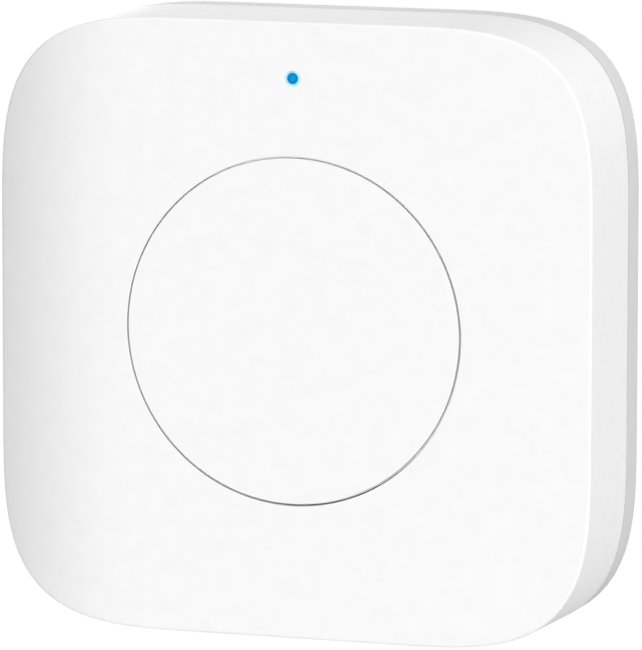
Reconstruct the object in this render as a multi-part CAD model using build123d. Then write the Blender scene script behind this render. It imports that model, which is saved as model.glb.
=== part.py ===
from build123d import *
import os
from math import cos, radians, sin

# A square smart button for a wall: a white two-part case, a round push cap, an indicator light,
# and inside it a circuit board with a click switch on its front and a coin cell on its back.
# Each piece is drawn lying on its back: x to the right, y up the face, z out of the wall.
# The origin is the middle of the adhesive face. stand_up() turns a finished piece upright.

# Case, outer form
width = 45.0                  # across the sides at the parting line
face_draft = 0.15             # how much each side leans in from the parting line to the face
corner_start_share = 0.46     # where a corner leaves the side, of the half width
corner_lead_share = 2.115     # radius of the flat arcs that lead into a corner, of its reach
corner_lead_angle = 12.4      # how far each of them turns, in degrees
base_depth = 3.3              # from the back of the rear cover to the parting line
face_edge_break = 0.2         # the crisp edge round the face
base_edge_round = 0.9         # the soft edge at the wall
base_edge_bands = 2           # short straight bands that make up that round
parting_gap = 0.1             # the fine shadow line between the two covers

# Case, walls and the joint between the covers
wall = 1.5
face_wall = 1.5
floor_wall = 1.4
tongue_height = 1.0           # lip of the rear cover that enters the front cover
rebate_wall = 0.75            # what is left of the front cover's wall outside that lip
fit_gap = 0.1                 # clearance round the lip
snap_width = 5.0
snap_thickness = 0.9
snap_height = 5.8             # snap arms, above the rear cover's floor
snap_spread = 8.0             # of each snap arm from the middle of its side
snap_gap = 0.15               # between a snap arm and the wall
snap_barb = 0.12
snap_barb_height = 1.0
snap_pocket = 0.45            # depth of the pocket that takes a barb
notch_width = 8.0             # pry notch in the lower edge
notch_depth = 0.9
notch_height = 1.2
press_frame = 12.0            # square ridge on the floor that keeps the cell in its holder
press_frame_wall = 0.8
press_frame_gap = 0.3
floor_rib = 0.8
floor_rib_height = 0.4
rib_thickness = 0.8           # ribs that carry the edge of the board
rib_bearing = 0.9             # how far they reach over the board
rib_spread = 8.0
overrun = 0.5                 # how far a cut runs past the face that it starts from
pin_sides = 12                # flats round the small pins, posts, pegs, screws and light pipe

# Adhesive pad
pad_diameter = 34.0
pad_thickness = 0.8
pad_proud = 0.4               # how far it stands out of its recess
pad_gap = 0.3

# Push cap
cap_diameter = 25.05
cap_gap = 0.15                # the ring-shaped gap round the cap
cap_wall = 1.4
cap_skirt_wall = 1.0
cap_skirt_height = 1.4
cap_travel = 0.25             # press of the cap, and of the click switch under it
cap_boss_radius = 1.5
cap_boss_height = 0.9         # from the underside of the cap to the click switch
cap_rib = 0.8
cap_rib_height = 0.6
cap_ribs = 6
collar_wall = 1.0             # ring behind the face that guides the cap
collar_height = 1.6
catch_width = 4.0             # hooks that stop the cap from falling out
catch_height = 0.7
catch_reach = 0.6
catch_gap = 0.05
catches = 3
key_width = 1.6               # rib on the skirt that keeps the cap from turning
key_reach = 0.6
key_gap = 0.15
key_angle = 30.0

# Light pipe and indicator light
light_inset = 4.05            # from the top edge of the face to the light
light_diameter = 0.95
light_gap = 0.05
light_shoulder_radius = 1.0
light_shoulder_height = 1.0
light_stem_radius = 0.7
light_air = 0.3               # between the pipe and the light under it
sleeve_wall = 0.7
sleeve_height = 1.6
led_length = 1.6
led_depth = 0.8
led_base_height = 0.25
led_lens_length = 1.1
led_lens_height = 0.35

# Coin cell, a standard 20 mm by 3.2 mm lithium cell
cell_diameter = 20.0
cell_thickness = 3.2
cell_float = 0.7              # between the rear cover's floor and the cell
cell_drop = 4.5               # of the cell's axis below the middle of the face
cell_skin = 0.25
cell_rim_step = 0.3           # how much lower the can's crimped rim is than the cap
cell_can_break = 0.3
cell_cap_radius = 9.0
gasket_step = 0.2
cell_cap_lift = 0.4           # from the can's bottom to the rim of the cap
pellet_radius = 8.4
pellet_thickness = 1.75
separator_radius = 8.6
separator_thickness = 0.15

# Battery holder and its contacts
holder_gap = 0.15
holder_wall = 1.2
holder_height = 3.2
holder_ledge = 1.5
holder_ledge_height = 0.35
holder_side_gap = 7.0         # finger gaps left and right
holder_contact_gap = 5.0      # gap at the top for the side contact
holder_hook_width = 3.0
holder_hook_height = 0.4
holder_hook_reach = 0.8
holder_hook_angle = 32.0      # of each hook from the bottom of the cell
contact_height = 0.4          # between the cell and the board
contact_thickness = 0.2
contact_bend = 0.25
contact_width = 3.6
contact_foot = 1.6
contact_tongue = 1.5
leaf_length = 12.0
leaf_crown = 2.4
leaf_foot = 2.6

# Circuit board and what holds it
board_thickness = 1.0
board_gap = 0.3
post_radius = 1.7
post_x = 14.0
post_y = 13.0
pin_radius = 0.65
pin_proud = 0.3
pin_gap = 0.05
screw_radius = 0.7
screw_length = 3.5
screw_head_radius = 1.3
screw_head_height = 0.9
screw_slot = 0.35
screw_slot_depth = 0.45
screw_hole_gap = 0.2
screw_bite_gap = 0.02

# Click switch at the middle of the board
switch_side = 6.0
switch_body_height = 2.0
switch_height = 3.0
switch_cup_radius = 2.4
switch_floor = 0.7
dome_radius = 2.2
dome_left = 0.1               # rise that is left when the cap is pressed home
dome_thickness = 0.08
dome_profile_shares = ((0, 1), (0.5, 0.75), (1, 0))
plunger_radius = 1.7
plunger_flange_radius = 2.1
plunger_gap = 0.05
switch_touch_gap = 0.02
frame_thickness = 0.2
frame_tab_width = 3.0
frame_tab_drop = 1.4
peg_radius = 0.35
peg_inset = 0.8
peg_proud = 0.35
terminal_width = 0.7
terminal_thickness = 0.2
terminal_height = 1.0
terminal_foot = 1.0
terminal_spread = 2.25

# Electronic parts
chip_side = 5.0
chip_height = 0.85
chip_x = 9.0
radio_crystal = (2.5, 2.0, 0.6)
clock_crystal = (3.2, 1.5, 0.8)
crystal_clearance = 1.2
small_length = 1.6
small_width = 0.8
capacitor_height = 0.8
resistor_height = 0.45
small_pitch = 1.9
small_per_row = 4
small_x = 7.6
reservoir = (3.5, 2.8, 1.9)
reservoir_x = 7.5
reservoir_y = 11.5
antenna_x = -11.0
antenna_edge = 5.1            # from the board's top edge to the antenna's lower bends
antenna_leg = 3.2
antenna_pitch = 1.3
antenna_track = 0.6
antenna_turns = 9
antenna_thickness = 0.05

# Levels above the wall
base_back = pad_proud
floor = base_back + floor_wall
parting = base_back + base_depth
cell_bottom = floor + cell_float
cell_top = cell_bottom + cell_thickness
board_back = cell_top + contact_height
board_front = board_back + board_thickness
switch_top = board_front + switch_height
cap_under = switch_top + cap_boss_height
face = cap_under + cap_wall
ceiling = face - face_wall
collar_end = ceiling - collar_height
skirt_end = cap_under - cap_skirt_height
catch_top = collar_end - catch_gap
snap_top = floor + snap_height

# Half widths and radii that follow
half_width = width / 2
face_half = half_width - face_draft
cavity_half = face_half - wall
rebate_half = face_half - rebate_wall
tongue_half = rebate_half - fit_gap
snap_face = cavity_half - snap_gap
board_half = snap_face - snap_thickness - board_gap
cap_radius = cap_diameter / 2
opening_radius = cap_radius + cap_gap
collar_radius = opening_radius + collar_wall
light_y = face_half - light_inset
light_radius = light_diameter / 2
cell_radius = cell_diameter / 2
holder_bore = cell_radius + holder_gap
holder_radius = holder_bore + holder_wall
antenna_y = board_half - antenna_edge
dome_rise = cap_travel + dome_left
dome_edge = board_front + switch_floor + dome_thickness
posts = [(post_x, post_y), (-post_x, -post_y)]
pins = [(-post_x, post_y), (post_x, -post_y)]


def rounded_square(half):
    """Flat outline of the case: straight sides joined by soft corners of three arcs each."""
    start = corner_start_share * half_width
    reach = half - start
    turn = radians(corner_lead_angle)
    lead = corner_lead_share * reach
    middle = (reach - lead * (sin(turn) + 1 - cos(turn))) / (cos(turn) - sin(turn))
    enter = JernArc((start, half), (1, 0), lead, -corner_lead_angle)
    bend = JernArc(enter @ 1, enter % 1, middle, 2 * corner_lead_angle - 90)
    leave = JernArc(bend @ 1, bend % 1, lead, -corner_lead_angle)
    side = Line(leave @ 1, (half, -start))
    turned = [Rot(0, 0, -90 * quarter) * edge for quarter in range(4) for edge in (enter, bend, leave, side)]
    return make_face(Wire(Curve(turned).edges()))


def slab(half, low, high):
    """Solid with the outline of the case between two levels."""
    return extrude(Pos(0, 0, low) * rounded_square(half), high - low)


def rod(radius, low, high, x=0, y=0):
    """Round bar between two levels."""
    return Pos(x, y, (low + high) / 2) * Cylinder(radius, high - low)


def pin(radius, low, high, x=0, y=0):
    """Slim bar with narrow flats all round, between two levels."""
    return extrude(Pos(x, y, low) * RegularPolygon(radius, pin_sides), high - low)


def tube(outer, inner, low, high, x=0, y=0):
    """Round tube between two levels."""
    ring = Circle(outer) - Circle(inner)
    return extrude(Pos(x, y, low) * ring, high - low)


def block(length, depth, low, high, x=0, y=0):
    """Box between two levels."""
    return Pos(x, y, (low + high) / 2) * Box(length, depth, high - low)


def bent_strip(points, thickness, strip_width):
    """Metal strip bent along points in the x-z plane, with its width along y."""
    path = FilletPolyline(*points, radius=contact_bend)
    return extrude(Plane.XZ * trace(path, thickness), strip_width / 2, both=True)


def around(count, start=90.0):
    """Angles that share a full turn evenly."""
    return [start + 360 / count * step for step in range(count)]


def make_front_cover():
    """Shell with the face: guide collar, light sleeve, posts, ribs and snap pockets behind it."""
    sections = [(half_width, parting), (face_half, face - face_edge_break),
                (face_half - face_edge_break, face)]
    cover = loft([Pos(0, 0, level) * rounded_square(half) for half, level in sections], ruled=True)
    cover -= slab(cavity_half, parting - overrun, ceiling)
    cover -= slab(rebate_half, parting - overrun, parting + tongue_height + fit_gap)
    cover += rod(collar_radius, collar_end, ceiling)
    cover -= rod(opening_radius, collar_end - overrun, face + overrun)
    slot = block(collar_wall + 2 * overrun, key_width + 2 * key_gap, collar_end - overrun, ceiling,
                 (collar_radius + opening_radius) / 2)
    cover -= Rot(0, 0, key_angle) * slot
    cover = make_light_sleeve(cover)
    for x, y in posts + pins:
        cover += pin(post_radius, board_front, ceiling, x, y)
    for x, y in posts:
        bottom = board_back + screw_length + screw_hole_gap
        cover -= pin(screw_radius + screw_bite_gap, board_front - overrun, bottom, x, y)
    for x, y in pins:
        cover += pin(pin_radius, board_back - pin_proud, board_front, x, y)
    for rib in board_ribs():
        cover += rib
    for pocket in snap_pockets():
        cover -= pocket
    return cover


def make_light_sleeve(cover):
    """Adds the sleeve that holds the light pipe and bores it through the face."""
    bore = light_shoulder_radius + light_gap
    cover += pin(bore + sleeve_wall, ceiling - sleeve_height, ceiling, 0, light_y)
    cover -= pin(bore, ceiling - sleeve_height - overrun, ceiling, 0, light_y)
    cover -= rod(light_radius + light_gap, ceiling - overrun, face + overrun, 0, light_y)
    return cover


def board_ribs():
    """Ribs on the inside of the walls that the edge of the board rests against."""
    depth = cavity_half - board_half + rib_bearing
    middle = cavity_half - depth / 2 + wall / 4
    rib = block(rib_thickness, depth + wall / 2, board_front, ceiling, 0, middle)
    top_bottom = [Rot(0, 0, turn) * Pos(offset, 0, 0) * rib
                  for turn in (0, 180) for offset in (-rib_spread, rib_spread)]
    sides = [Rot(0, 0, turn) * rib for turn in (90, 270)]
    return top_bottom + sides


def snap_places():
    """Turns and offsets of the four snap arms, two on the left side and two on the right."""
    return [Rot(0, 0, turn) * Pos(0, offset, 0)
            for turn in (0, 180) for offset in (-snap_spread, snap_spread)]


def snap_pockets():
    """Pockets in the front cover's walls that take the barbs."""
    low = snap_top - snap_barb_height - fit_gap
    high = snap_top + fit_gap
    depth = snap_pocket + snap_gap
    pocket = block(depth, snap_width + 2 * fit_gap, low, high, snap_face + depth / 2)
    return [place * pocket for place in snap_places()]


def make_snap_arm():
    """One snap arm, on the right-hand side, with a wedge-shaped barb at its tip."""
    arm = block(snap_thickness, snap_width, floor - floor_wall / 2, snap_top, snap_face - snap_thickness / 2)
    edge = snap_top - snap_barb_height
    wedge = Polyline((snap_face, snap_top), (snap_face, edge), (snap_face + snap_barb, edge), close=True)
    barb = extrude(Plane.XZ * make_face(wedge), snap_width / 2, both=True)
    return arm + barb


def make_rear_cover():
    """Shallow tray behind the parting line, with the lip, snap arms, pry notch and pad recess."""
    top = parting - parting_gap
    sections = [(half_width, top)]
    for band in range(base_edge_bands + 1):
        turn = radians(90 * band / base_edge_bands)
        half = half_width - base_edge_round * (1 - cos(turn))
        sections.append((half, base_back + base_edge_round * (1 - sin(turn))))
    cover = loft([Pos(0, 0, level) * rounded_square(half) for half, level in sections], ruled=True)
    cover += slab(tongue_half, top - overrun, parting + tongue_height)
    cover -= slab(cavity_half, floor, parting + tongue_height + overrun)
    cover -= rod(pad_diameter / 2 + pad_gap, base_back - overrun, pad_thickness)
    press_top = cell_bottom - press_frame_gap
    rib_length = cavity_half - press_frame / 2 + wall / 2
    rib_middle = (press_frame - press_frame_wall + rib_length) / 2
    for turn in (0, 180):
        rib = block(rib_length, floor_rib, floor - floor_wall / 2, floor + floor_rib_height, rib_middle, 0)
        cover += Pos(0, -cell_drop, 0) * Rot(0, 0, turn) * rib
    inside = press_frame - 2 * press_frame_wall
    ridge = block(press_frame, press_frame, floor, press_top) - block(inside, inside, floor, press_top)
    cover += Pos(0, -cell_drop, 0) * ridge
    for place in snap_places():
        cover += place * make_snap_arm()
    notch = block(notch_width, 2 * notch_depth, top - notch_height, parting, 0, -half_width)
    return cover - notch


def make_adhesive_pad():
    """Round double-sided foam pad that holds the button on the wall."""
    return rod(pad_diameter / 2, 0, pad_thickness)


def make_button_cap():
    """Round push cap: a flat disc with a skirt, three catches, a key, a middle boss and ribs."""
    inner = cap_radius - cap_skirt_wall
    cap = rod(cap_radius, skirt_end, face) - rod(inner, skirt_end - overrun, cap_under)
    low = catch_top - catch_height
    ring = tube(opening_radius + catch_reach, inner, low, catch_top) + tube(cap_radius, inner, low, cap_under)
    key = block(2 * cap_radius, catch_width, low, cap_under, cap_radius, 0)
    for angle in around(catches):
        cap += ring & (Rot(0, 0, angle) * key)
    reach = cap_radius + key_reach
    cap += Rot(0, 0, key_angle) * block(reach - inner, key_width, skirt_end, ceiling - key_gap,
                                        (reach + inner) / 2)
    for angle in around(cap_ribs):
        rib = block(inner, cap_rib, cap_under - cap_rib_height, cap_under, inner / 2 + cap_skirt_wall / 4, 0)
        cap += Rot(0, 0, angle) * rib
    return cap + pin(cap_boss_radius, switch_top + switch_touch_gap, cap_under)


def make_light_pipe():
    """Clear pin that carries the light from the board to the face."""
    shoulder = ceiling - light_shoulder_height
    pipe = rod(light_radius, ceiling, face, 0, light_y)
    pipe += pin(light_shoulder_radius, shoulder, ceiling, 0, light_y)
    bottom = board_front + led_base_height + led_lens_height + light_air
    return pipe + pin(light_stem_radius, bottom, shoulder, 0, light_y)


def make_circuit_board():
    """Board with the outline of the case and the holes for its screws and locating pins."""
    board = slab(board_half, board_back, board_front)
    for x, y in posts:
        board -= pin(screw_radius + screw_hole_gap, board_back - overrun, board_front + overrun, x, y)
    for x, y in pins:
        board -= pin(pin_radius + pin_gap, board_back - overrun, board_front + overrun, x, y)
    return board


def make_board_screws():
    """Two small screws from behind, with a cross in the head."""
    screws = []
    for x, y in posts:
        under = board_back - screw_head_height
        screw = pin(screw_head_radius, under, board_back, x, y)
        screw += pin(screw_radius, board_back, board_back + screw_length, x, y)
        for length, depth in ((screw_head_radius, screw_slot), (screw_slot, screw_head_radius)):
            screw -= block(length, depth, under - overrun, under + screw_slot_depth, x, y)
        screws.append(screw)
    return screws


def make_switch_base():
    """Square moulded base with the cup that the dome lies in, and four corner pegs."""
    top = board_front + switch_body_height
    base = block(switch_side, switch_side, board_front, top)
    base -= rod(switch_cup_radius, board_front + switch_floor, top + overrun)
    for x, y in peg_places():
        base += pin(peg_radius, top, top + peg_proud, x, y)
    return base


def peg_places():
    """Middles of the four pegs that rivet the switch's frame to its base."""
    place = switch_side / 2 - peg_inset
    return [(x, y) for x in (-place, place) for y in (-place, place)]


def make_switch_dome():
    """Thin steel snap dome that clicks and pushes the plunger back."""
    outer = [(out * dome_radius, up * dome_rise) for out, up in dome_profile_shares]
    inner = [(x, z - dome_thickness) for x, z in reversed(outer)]
    profile = make_face(Polyline(*outer, *inner, close=True))
    return Pos(0, 0, dome_edge) * revolve(Plane.XZ * profile, Axis.Z)


def make_switch_plunger():
    """Round plunger on the dome, kept in by its flange."""
    bottom = dome_edge + dome_rise + switch_touch_gap
    shoulder = board_front + switch_body_height - plunger_gap
    return rod(plunger_flange_radius, bottom, shoulder) + rod(plunger_radius, shoulder, switch_top)


def make_switch_frame():
    """Steel plate over the switch with two tabs folded down its sides."""
    low = board_front + switch_body_height
    high = low + frame_thickness
    frame = block(switch_side, switch_side, low, high)
    frame -= rod(plunger_radius + plunger_gap, low - overrun, high + overrun)
    for x, y in peg_places():
        frame -= pin(peg_radius + plunger_gap, low - overrun, high + overrun, x, y)
    for side in (-1, 1):
        tab = side * (switch_side + frame_thickness) / 2
        frame += block(frame_tab_width, frame_thickness, high - frame_tab_drop, high, 0, tab)
    return frame


def make_switch_terminals():
    """Four legs, bent out of the base and down to the board."""
    half = terminal_thickness / 2
    side = switch_side / 2 + half
    low = board_front + half
    points = [(side, board_front + terminal_height), (side, low), (side + terminal_foot, low)]
    leg = extrude(Plane.XZ * trace(Polyline(*points), terminal_thickness), terminal_width / 2, both=True)
    places = [Rot(0, 0, turn) * Pos(0, offset, 0)
              for turn in (0, 180) for offset in (-terminal_spread, terminal_spread)]
    return [place * leg for place in places]


def make_indicator_led():
    """Base of the indicator light on the board."""
    return block(led_length, led_depth, board_front, board_front + led_base_height, 0, light_y)


def make_led_lens():
    """Clear moulded top of the indicator light."""
    low = board_front + led_base_height
    lens = block(led_lens_length, led_depth, low, low + led_lens_height, 0, light_y)
    return chamfer(lens.edges().group_by(Axis.Z)[-1], led_lens_height / 3)


def make_radio_chip():
    """Square radio chip left of the switch."""
    return block(chip_side, chip_side, board_front, board_front + chip_height, -chip_x, 0)


def make_crystal(size, side):
    """Metal-lidded crystal above (side 1) or below (side -1) the radio chip."""
    length, depth, height = size
    y = side * (chip_side / 2 + crystal_clearance + depth / 2)
    crystal = block(length, depth, board_front, board_front + height, -chip_x, y)
    return chamfer(crystal.edges().group_by(Axis.Z)[-1], height / 5)


def make_small_parts(first_row, height):
    """Two rows of small parts right of the switch, standing on the board."""
    parts = []
    for row in (first_row, first_row + 1):
        for place in range(small_per_row):
            x = small_x + row * small_pitch
            y = (place - (small_per_row - 1) / 2) * 2 * small_pitch
            parts.append(block(small_width, small_length, board_front, board_front + height, x, y))
    return parts


def make_reservoir():
    """Large capacitor on the back of the board that feeds the radio's short bursts."""
    length, depth, height = reservoir
    body = block(length, depth, board_back - height, board_back, reservoir_x, reservoir_y)
    return chamfer(body.edges().group_by(Axis.Z)[0], height / 6)


def make_antenna():
    """Printed copper antenna on the back of the board, a meander along the top edge."""
    points = [(antenna_x, antenna_y)]
    for turn in range(antenna_turns):
        x = antenna_x + turn * antenna_pitch
        end = antenna_y + (antenna_leg if turn % 2 == 0 else 0)
        points += [(x, end), (x + antenna_pitch, end)]
    track = trace(Polyline(*points), antenna_track)
    return Pos(0, 0, board_back - antenna_thickness) * extrude(track, antenna_thickness)


def at_cell(solid):
    """Moves a solid drawn on the z axis to the cell's axis."""
    return Pos(0, -cell_drop, 0) * solid


def make_cell_can():
    """Steel can of the cell, the positive pole, open to the front."""
    rim = cell_top - cell_rim_step
    can = rod(cell_radius, cell_bottom, rim)
    can = chamfer(can.edges().group_by(Axis.Z)[0], cell_can_break)
    can -= rod(cell_radius - cell_skin, cell_bottom + cell_skin, rim + overrun)
    return at_cell(can)


def make_cell_gasket():
    """Sealing ring between the can and the cap."""
    low = cell_bottom + cell_skin
    outer = cell_radius - cell_skin
    return at_cell(tube(outer, cell_cap_radius, low, cell_top - gasket_step))


def make_cell_cap():
    """Steel cap of the cell, the negative pole, turned to the board."""
    low = cell_bottom + cell_skin + cell_cap_lift
    cap = rod(cell_cap_radius, low, cell_top)
    return at_cell(cap - rod(cell_cap_radius - cell_skin, low - overrun, cell_top - cell_skin))


def make_cell_pellet():
    """Pressed manganese dioxide pellet in the bottom of the can."""
    low = cell_bottom + cell_skin
    return at_cell(rod(pellet_radius, low, low + pellet_thickness))


def make_cell_separator():
    """Porous sheet between the pellet and the lithium disc."""
    low = cell_bottom + cell_skin + pellet_thickness
    return at_cell(rod(separator_radius, low, low + separator_thickness))


def make_cell_lithium():
    """Lithium disc under the cap."""
    low = cell_bottom + cell_skin + pellet_thickness + separator_thickness
    return at_cell(rod(pellet_radius, low, cell_top - cell_skin))


def make_battery_holder():
    """Moulded ring that holds the cell on the back of the board."""
    low = board_back - holder_height
    holder = tube(holder_radius, holder_bore, low, board_back)
    holder += tube(holder_radius, holder_bore - holder_ledge, board_back - holder_ledge_height, board_back)
    long = 2 * holder_radius + overrun
    holder -= block(long, holder_side_gap, low - overrun, board_back - holder_ledge_height)
    holder -= block(holder_contact_gap, long / 2, low - overrun, board_back + overrun, 0, long / 4)
    for angle in (-90 - holder_hook_angle, -90 + holder_hook_angle):
        holder += Rot(0, 0, angle) * make_holder_hook()
    return at_cell(holder)


def make_holder_hook():
    """One hook of the holder, over the edge of the cell on the right-hand side."""
    high = cell_bottom - switch_touch_gap
    wall_part = tube(holder_radius, holder_bore, high - holder_hook_height, board_back - holder_ledge_height)
    lip = tube(holder_radius, cell_radius - holder_hook_reach, high - holder_hook_height, high)
    key = block(2 * holder_radius, holder_hook_width, high - holder_hook_height, board_back, holder_radius, 0)
    return (wall_part + lip) & key


def make_side_contact():
    """Spring contact at the top of the cell, bent over its positive face."""
    half = contact_thickness / 2
    side = cell_radius + holder_gap + half
    over = cell_bottom - half
    foot = board_back - half
    points = [(side - contact_tongue, over), (side, over), (side, foot), (side + contact_foot, foot)]
    return at_cell(Rot(0, 0, 90) * bent_strip(points, contact_thickness, contact_width))


def make_leaf_contact():
    """Bowed leaf spring on the board that touches the cell's negative cap."""
    half = contact_thickness / 2
    crown = cell_top + half
    foot = board_back - half
    end = leaf_length / 2
    points = [(-end, foot), (-end + leaf_foot, foot), (-leaf_crown / 2, crown), (leaf_crown / 2, crown),
              (end - leaf_foot, foot), (end, foot)]
    return at_cell(bent_strip(points, contact_thickness, contact_width))


def stand_up(piece):
    """Turns a piece drawn lying on its back upright, with the face towards -Y and the wall at y = 0."""
    solids = piece if isinstance(piece, list) else [piece]
    flat = [solid for item in solids for solid in item.solids()]
    return Compound(children=[Plane.XZ.location * solid for solid in flat])


nodes = {
    "rear_cover": make_rear_cover(),
    "adhesive_pad": make_adhesive_pad(),
    "front_cover": make_front_cover(),
    "button_cap": make_button_cap(),
    "light_pipe": make_light_pipe(),
    "circuit_board": make_circuit_board(),
    "board_screws": make_board_screws(),
    "switch_base": make_switch_base(),
    "switch_dome": make_switch_dome(),
    "switch_plunger": make_switch_plunger(),
    "switch_frame": make_switch_frame(),
    "switch_terminals": make_switch_terminals(),
    "indicator_led": make_indicator_led(),
    "led_lens": make_led_lens(),
    "radio_chip": make_radio_chip(),
    "radio_crystal": make_crystal(radio_crystal, 1),
    "clock_crystal": make_crystal(clock_crystal, -1),
    "capacitors": make_small_parts(0, capacitor_height),
    "resistors": make_small_parts(2, resistor_height),
    "reservoir_capacitor": make_reservoir(),
    "antenna_track": make_antenna(),
    "cell_can": make_cell_can(),
    "cell_gasket": make_cell_gasket(),
    "cell_cap": make_cell_cap(),
    "cell_pellet": make_cell_pellet(),
    "cell_separator": make_cell_separator(),
    "cell_lithium": make_cell_lithium(),
    "battery_holder": make_battery_holder(),
    "side_contact": make_side_contact(),
    "leaf_contact": make_leaf_contact(),
}

os.makedirs("parts", exist_ok=True)
for name, piece in nodes.items():
    export_step(stand_up(piece), f"parts/{name}.step")
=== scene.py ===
import logging
import math
from dataclasses import dataclass
from enum import Enum
from typing import Callable, Optional, Sequence

import bmesh
import bpy
from mathutils import Matrix, Vector


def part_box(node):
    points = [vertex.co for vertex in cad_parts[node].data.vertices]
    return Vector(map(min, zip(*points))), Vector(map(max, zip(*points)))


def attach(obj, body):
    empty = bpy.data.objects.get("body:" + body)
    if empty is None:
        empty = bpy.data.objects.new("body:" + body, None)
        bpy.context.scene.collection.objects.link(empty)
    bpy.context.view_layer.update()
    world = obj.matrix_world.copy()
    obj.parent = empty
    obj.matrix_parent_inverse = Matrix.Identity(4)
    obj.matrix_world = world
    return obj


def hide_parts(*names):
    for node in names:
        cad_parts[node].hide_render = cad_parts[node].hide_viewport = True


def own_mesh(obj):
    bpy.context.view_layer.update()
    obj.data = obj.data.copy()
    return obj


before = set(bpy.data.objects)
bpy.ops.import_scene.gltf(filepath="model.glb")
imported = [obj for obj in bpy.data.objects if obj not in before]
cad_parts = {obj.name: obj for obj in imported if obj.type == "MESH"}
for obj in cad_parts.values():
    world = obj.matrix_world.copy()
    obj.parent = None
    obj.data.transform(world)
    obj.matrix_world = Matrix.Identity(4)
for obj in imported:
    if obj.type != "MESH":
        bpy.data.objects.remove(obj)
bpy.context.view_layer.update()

# A square smart button for a wall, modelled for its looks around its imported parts.
# Pieces are modelled in millimetres and brought to metres when they are finished.
# "Out" is the distance from the wall: it runs along -Y, so the face looks along -Y.
# "Across" runs along +X, to the right as seen from the front, and "up" along +Z.

LOG = logging.getLogger("smart_button")
MM = 0.001
ROUND_SIDES = 160
SMALL_SIDES = 48
TINY_SIDES = 24
MERGE_DISTANCE = 0.0005
SLACK = 0.01
SQUARE_ON = 0.9
SIDEWAYS = 0.5
NOISE_MIDDLE = (0.3, 0.7)
OVERRUN = 0.5
SMOOTH_ANGLE = math.radians(34)
SIDES = (-1, 1)
QUARTERS = (0, 90, 180, 270)

Point = tuple[float, float, float]
Colour = tuple[float, float, float]
Place = tuple[float, float]
Span = Sequence[float]
Test = Callable[[Vector, Vector], bool]
Socket = bpy.types.NodeSocket


class Body(Enum):
    """The moving bodies that the pieces ride on."""

    BASE = "base"
    HOUSING = "housing"
    BUTTON = "button"
    PLUNGER = "plunger"


class Axis(Enum):
    """Directions along which a surface can be brushed."""

    ACROSS = (1.0, 0.06, 0.06)
    UPRIGHT = (0.06, 0.06, 1.0)
    EVEN = (1.0, 1.0, 1.0)


@dataclass(frozen=True)
class Extent:
    """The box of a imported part, in millimetres."""

    low: Vector  # Lowest corner
    high: Vector  # Highest corner

    @classmethod
    def of(cls, node: str) -> "Extent":
        """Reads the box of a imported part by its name."""
        low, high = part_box(node)
        return cls(Vector(low) / MM, Vector(high) / MM)

    @property
    def back(self) -> float:
        """How far out its wall side lies."""
        return -self.high.y

    @property
    def front(self) -> float:
        """How far out its front lies."""
        return -self.low.y

    @property
    def out(self) -> Place:
        """Its two levels out of the wall."""
        return self.back, self.front

    @property
    def across(self) -> Place:
        """Its two ends across."""
        return self.low.x, self.high.x

    @property
    def up(self) -> Place:
        """Its lower and upper end."""
        return self.low.z, self.high.z

    @property
    def middle(self) -> Place:
        """Its middle, across and up."""
        return sum(self.across) / 2, sum(self.up) / 2

    @property
    def half_across(self) -> float:
        """Half its size across."""
        return (self.high.x - self.low.x) / 2

    @property
    def half_up(self) -> float:
        """Half its height."""
        return (self.high.z - self.low.z) / 2


def around(middle: float, width: float) -> Place:
    """The two ends of a width, from its middle."""
    return middle - width / 2, middle + width / 2


def inside(span: Span, margin: float) -> Place:
    """A span made shorter by a margin at each end, or longer where the margin is negative."""
    return span[0] + margin, span[1] - margin


def stands(a: Vector, b: Vector) -> bool:
    """Test for edges that run out of the wall."""
    return abs(a.y - b.y) > MERGE_DISTANCE


def looks_out(middle: Vector, normal: Vector) -> bool:
    """Test for faces that look straight out of the wall."""
    return normal.y < -SQUARE_ON


def looks_in(middle: Vector, normal: Vector) -> bool:
    """Test for faces that look straight at the wall."""
    return normal.y > SQUARE_ON


def rim_at(level: float) -> Test:
    """Test for edges that lie flat at one level."""
    return lambda a, b: max(abs(a.y + level), abs(b.y + level)) < MERGE_DISTANCE


def circle_at(level: float, radius: float, centre: Place = (0, 0)) -> Test:
    """Test for the edges of a circle at one level, round a middle given across and up."""
    flat = rim_at(level)
    return lambda a, b: flat(a, b) and all(
        abs(math.dist((end.x, end.z), centre) - radius) < SLACK for end in (a, b))


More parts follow.
